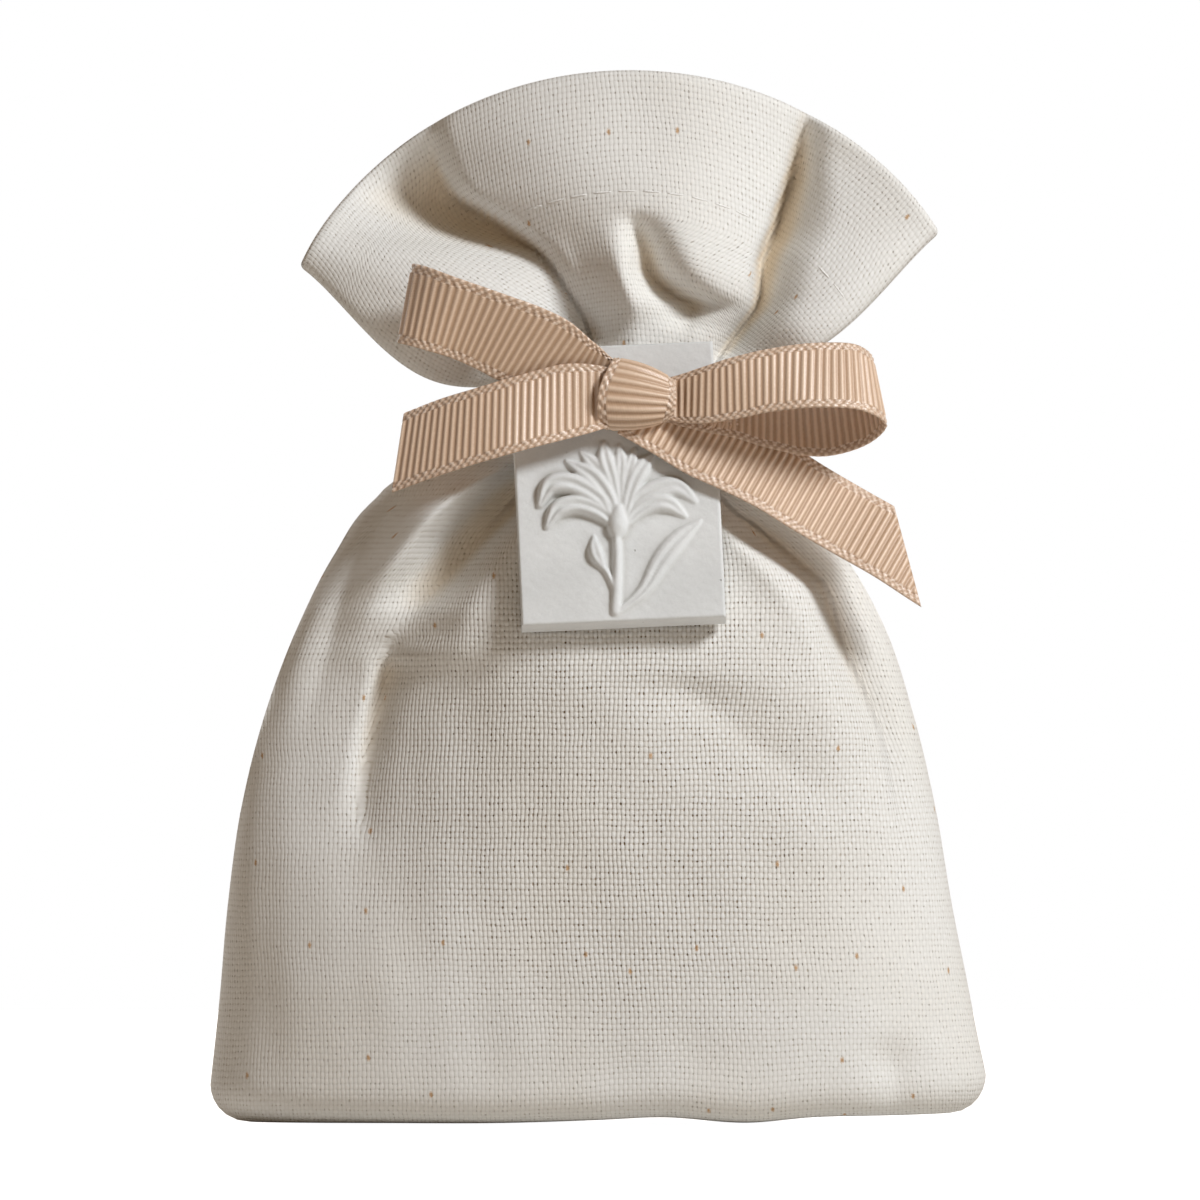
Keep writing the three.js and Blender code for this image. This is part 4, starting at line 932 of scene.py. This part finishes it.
weave_ribbon(
    "left_tail", "ribbon_left_tail", "left_tail",
    [
        ((-3.4, -1.2, 3.7), (-3.6, -1.6, -4.2)), ((-5.5, -1.2, 4.1), (-5.5, -2.2, -4.8)),
        ((-9.6, -1.1, 4.2), (-9.6, -2.9, -5.9)), ((-13, -0.7, 3.4), (-13.2, -3.3, -6.8)),
        ((-17, -0.2, 2.3), (-17.2, -3.1, -7.9)), ((-21, 0.8, 1.1), (-21.4, -2, -9.1)),
        ((-26, 2.8, -0.4), (-27, 0.1, -10.9)), ((-31, 5.2, -2.3), (-32.6, 2.8, -12.9)),
    ],
)
weave_ribbon(
    "right_tail", "ribbon_right_tail", "sachet",
    [
        ((2.2, 1.4, 3.2), (-2.5, 0, -5)), ((7.1, 1.9, 0.4), (2.4, -0.5, -7.8)),
        ((11.4, 1.5, -2.2), (6.7, -1.1, -10.4)), ((16, 2.4, -4.3), (11.3, -1.4, -12.5)),
        ((20.6, 3.8, -6.6), (15.9, -1, -14.8)), ((26.2, 4.9, -10), (21.5, 1.2, -18.2)),
        ((31.4, 5.6, -13), (26.7, 2.6, -21.2)), ((36, 5.6, -15.6), (31.3, 2.4, -23.8)),
        ((42.2, 6.2, -19.6), (37.5, 3, -27.8)), ((47.2, 6.6, -22.6), (42.5, 3.4, -30.8)),
    ],
    cut=((34.6, 5, -15.2), (0.966, 0, 0.257)),
)
weave_ribbon(
    "bow_knot", "ribbon_knot", "sachet",
    [
        ((4, 2.2, 0.9), (-3.2, 2.2, 2.6)), ((4.6, 1.2, 1.8), (-3, 1.2, 4.4)),
        ((5, -0.6, 1.8), (-3.1, -0.6, 4.8)), ((5.3, -2, 1), (-3.8, -2.2, 3.6)),
        ((5.4, -2.8, -0.4), (-4.9, -3.1, 1.1)), ((5.2, -2.7, -1.7), (-5.2, -3, -1.4)),
        ((4.6, -1.8, -2.8), (-4.8, -1.8, -3.4)), ((3.8, 0.4, -3.1), (-4.2, 0.4, -4.2)),
        ((3.6, 1.7, -2.6), (-3.6, 1.7, -3.5)), ((3.6, 2.2, -1.1), (-3.3, 2.2, -1.4)),
        ((3.8, 2.2, 0.2), (-3.2, 2.2, 0.9)),
    ],
    swell=lambda w: 0.6 - 0.6 * (w / 5) ** 2, ribbing=1.3,
)

# Plaster tag. One casting of white plaster, a plate with a lily in raised relief and a hole near its top,
# which the ribbon goes through. Poured plaster leaves small pinholes and soft edges; painted grey shade
# darkens the pinholes and the hollows of the relief.
TAG = (27.2, 38)  # width and height
TAG_THICK = 4
TAG_HOLE_DROP = 8  # from the top edge to the hole's middle
TAG_HOLE = 6.2
TAG_PLACE = Vector((1.8, -8.7, 95.2))  # the hole's middle
TAG_LEAN, TAG_ROLL = 14.12, 2.6  # degrees
TAG_RIM = 0.35  # radius of its soft edges
TAG_LUMPS = ((0.03, 7, 11), (0.012, 1.3, 12))  # height, size and seed
BLOOM_DROP = 17.2  # from the hole's middle to the cup of the bloom
MIDRIB_WIDE = 0.3  # share of a petal's half width
AROUND = 6  # points of the relief that each is compared with
HOLLOW_DEEP = 0.5
PLASTER_SHADE, PLASTER_PALE = (0.73, 0.742, 0.738), (0.81, 0.822, 0.818)
PINHOLE_SHADE, HOLLOW_SHADE = (0.40, 0.39, 0.36), (0.48, 0.465, 0.43)
RELIEF = [  # each stroke: place from the cup, width and height at its points, and depth of its midrib
    ([(-0.2, 1.6, 1.1, 0.8), (-1.7, 6.2, 1.9, 1), (-3, 8.6, 2.3, 1), (-4.6, 10.5, 0.7, 0.4)], 0.3),
    ([(0.5, 2, 1, 0.8), (1.2, 6.2, 1.6, 0.9), (1.9, 8.6, 1.9, 0.9), (2.6, 10.6, 0.7, 0.4)], 0.3),
    ([(0.3, 2, 1, 0.8), (0.4, 6.4, 1.6, 1), (0.6, 8.8, 1.9, 1), (0.5, 11.2, 0.7, 0.4)], 0.3),
    ([(0, 2, 1.1, 0.9), (-0.6, 6, 2, 1.2), (-1.4, 9.2, 2.5, 1.3), (-1.6, 11.6, 0.8, 0.5)], 0.3),
    ([(0.7, 1.2, 1.4, 1), (1.8, 5, 2.3, 1.1), (3.2, 7.8, 2.6, 1), (5.2, 10, 0.7, 0.4)], 0.3),
    ([(0.7, 0.2, 1.2, 0.9), (2.6, 2, 2, 1.1), (4.8, 3, 2.5, 1.3), (6.8, 2.8, 2.3, 1.2),
      (8.8, 1.2, 0.7, 0.5)], 0.35),
    ([(0.8, 0.8, 1.4, 1), (2.6, 3.6, 2.3, 1), (5.2, 5, 2.8, 1), (8, 5.2, 2.5, 0.9),
      (10.2, 3.2, 0.8, 0.4)], 0.35),
    ([(-0.4, 0.6, 1.8, 1.2), (-1.4, 4, 2.8, 1.6), (-3.4, 7, 2.9, 1.5), (-6.6, 9.4, 0.7, 0.5)], 0.35),
    ([(-0.7, 0.4, 1.4, 1), (-2.6, 2.2, 2.3, 1.5), (-5.4, 3.3, 2.7, 1.8), (-8, 2.8, 2.6, 1.8),
      (-9.6, 0.6, 0.9, 0.8)], 0.35),
    ([(-0.6, 1, 1.6, 1), (-2.2, 3.6, 2.5, 1.6), (-5.8, 6, 3.1, 2), (-8.8, 6.1, 2.9, 2),
      (-10.4, 3.6, 1, 0.8)], 0.35),
    ([(-0.9, -9, 0.8, 0.6), (-1.8, -6.4, 0.8, 0.7), (-2.6, -5.2, 0.9, 0.7)], 0),
    ([(-2.4, -5.4, 0.9, 0.7), (-3.3, -3.4, 2.1, 1.3), (-3.5, -1.2, 0.6, 0.6)], 0.2),
    ([(-0.4, -11.4, 1, 0.6), (2.8, -8.8, 1.8, 0.9), (5.4, -4.8, 2.8, 0.9), (8, -1.8, 2.5, 0.7),
      (10.8, 0.4, 0.5, 0.3)], 0.4),
    ([(-0.4, -1, 1.3, 1.1), (-0.5, -5.4, 1.4, 1), (-1, -11.4, 1.5, 0.7)], 0),
    ([(0, 2.6, 1.6, 1.4), (-0.2, 0.4, 3, 1.8), (-0.4, -1.4, 1.3, 1.1)], 0),
]
tag_columns, tag_rows = 170, 244
tag_x = np.linspace(-TAG[0] / 2, TAG[0] / 2, tag_columns + 1)
tag_z = np.linspace(TAG_HOLE_DROP - TAG[1], TAG_HOLE_DROP, tag_rows + 1)
face_x, face_z = np.meshgrid(tag_x, tag_z)
relief = np.zeros(face_x.shape)
for stroke, midrib in RELIEF:
    line = spline(np.arange(len(stroke)), stroke, np.linspace(0, len(stroke) - 1, 40))
    best = np.full(face_x.shape, 9.0)
    high = np.zeros(face_x.shape)
    for x, z, width, tall in line:
        reach = np.hypot(face_x - x, face_z - (z - BLOOM_DROP)) / (max(width, 0.3) / 2)
        nearer = reach < best
        best = np.where(nearer, reach, best)
        high = np.where(nearer, tall, high)
    dome = np.sqrt(np.clip(1 - best**2, 0, 1)) * (1 - midrib * np.exp(-((best / MIDRIB_WIDE) ** 2)))
    relief = np.maximum(relief, high * dome)
for _ in range(2):
    ringed = np.pad(relief, 1, mode="edge")
    beside = ringed[:-2, 1:-1] + ringed[2:, 1:-1] + ringed[1:-1, :-2] + ringed[1:-1, 2:]
    relief = 0.5 * relief + 0.125 * beside
around = np.pad(relief, AROUND, mode="edge")
places = range(0, 2 * AROUND + 1, 2)
spread = np.mean([around[i:i + tag_rows + 1, j:j + tag_columns + 1] for i in places for j in places], axis=0)
hollow = np.clip((spread - relief) / HOLLOW_DEEP, 0, 1)
rim = np.minimum(TAG[0] / 2 - np.abs(face_x), np.minimum(face_z - tag_z[0], tag_z[-1] - face_z))
soft_rim = TAG_RIM * (1 - np.sqrt(np.clip(1 - (1 - np.clip(rim / TAG_RIM, 0, 1)) ** 2, 0, 1)))
cast = np.stack([face_x, np.zeros(face_x.shape), face_z], axis=-1)
surface = -TAG_THICK - relief + soft_rim
for high, size, seed in TAG_LUMPS:
    surface = surface + high * lumps(cast, size, seed)
tag_mesh = bmesh.new()
shade = tag_mesh.verts.layers.float.new("hollow")
bmesh.ops.create_grid(tag_mesh, x_segments=tag_columns, y_segments=tag_rows, size=1)
for vert, i, j in grid_spots(tag_mesh.verts, tag_columns, tag_rows):
    vert.co = (tag_x[i] * MM, surface[j, i] * MM, tag_z[j] * MM)
    vert[shade] = hollow[j, i]
hole = [f for f in tag_mesh.faces if math.hypot(*f.calc_center_median().xz) < TAG_HOLE / 2 * MM]
bmesh.ops.delete(tag_mesh, geom=hole, context="FACES")
for vert in [v for v in tag_mesh.verts if v.is_boundary]:
    away = math.hypot(*vert.co.xz)
    if away < TAG_HOLE * MM:
        vert.co.x *= TAG_HOLE / 2 * MM / away
        vert.co.z *= TAG_HOLE / 2 * MM / away
walls = bmesh.ops.extrude_edge_only(tag_mesh, edges=[e for e in tag_mesh.edges if e.is_boundary])["geom"]
for vert in walls:
    if isinstance(vert, bmesh.types.BMVert):
        vert.co.y = 0
bmesh.ops.triangle_fill(tag_mesh, use_beauty=True, edges=[e for e in tag_mesh.edges if e.is_boundary])
tag_mesh.normal_update()
bmesh.ops.recalc_face_normals(tag_mesh, faces=tag_mesh.faces)
for face in tag_mesh.faces:
    face.smooth = len(face.verts) == 4 and abs(face.normal.y) > 0.15
tag_turn = Matrix.Rotation(math.radians(-TAG_LEAN), 4, "X") @ Matrix.Rotation(math.radians(-TAG_ROLL), 4, "Y")
bmesh.ops.transform(tag_mesh, matrix=Matrix.Translation(TAG_PLACE * MM) @ tag_turn, verts=tag_mesh.verts)
tag = put_down("plaster_tag_casting", tag_mesh)
plaster, start, shader = new_finish("cast_plaster", Roughness=0.85, Specular_IOR_Level=0.3)
cast_place = start.node("TexCoord", out="Object")
cloud = start.node("TexNoise", {}, cast_place, Scale=140, Detail=4)
chalk = start.node("TexNoise", {}, cast_place, Scale=2500, Detail=3)
pins = 1 - start.node("TexVoronoi", {}, cast_place, Scale=260, Randomness=1).ease(0.018, 0.05)
base = (cloud * 0.7 + chalk * 0.3).ease(0.3, 0.7).tint(PLASTER_SHADE, PLASTER_PALE)
# Painted shade: the hollows of the relief and the pinholes are coloured grey.
hollow_shade_mask = start.node("Attribute", {"attribute_name": "hollow"}, out="Fac")
colour = (hollow_shade_mask * 0.6).tint((pins * 0.5).tint(base, PINHOLE_SHADE), HOLLOW_SHADE)
dress(shader, colour, height=chalk * 0.5 + cloud * 0.4 - pins * 1.5, depth=0.06 * MM)
tag.data.materials.append(plaster)
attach(tag, "tag")
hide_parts("plaster_tag")
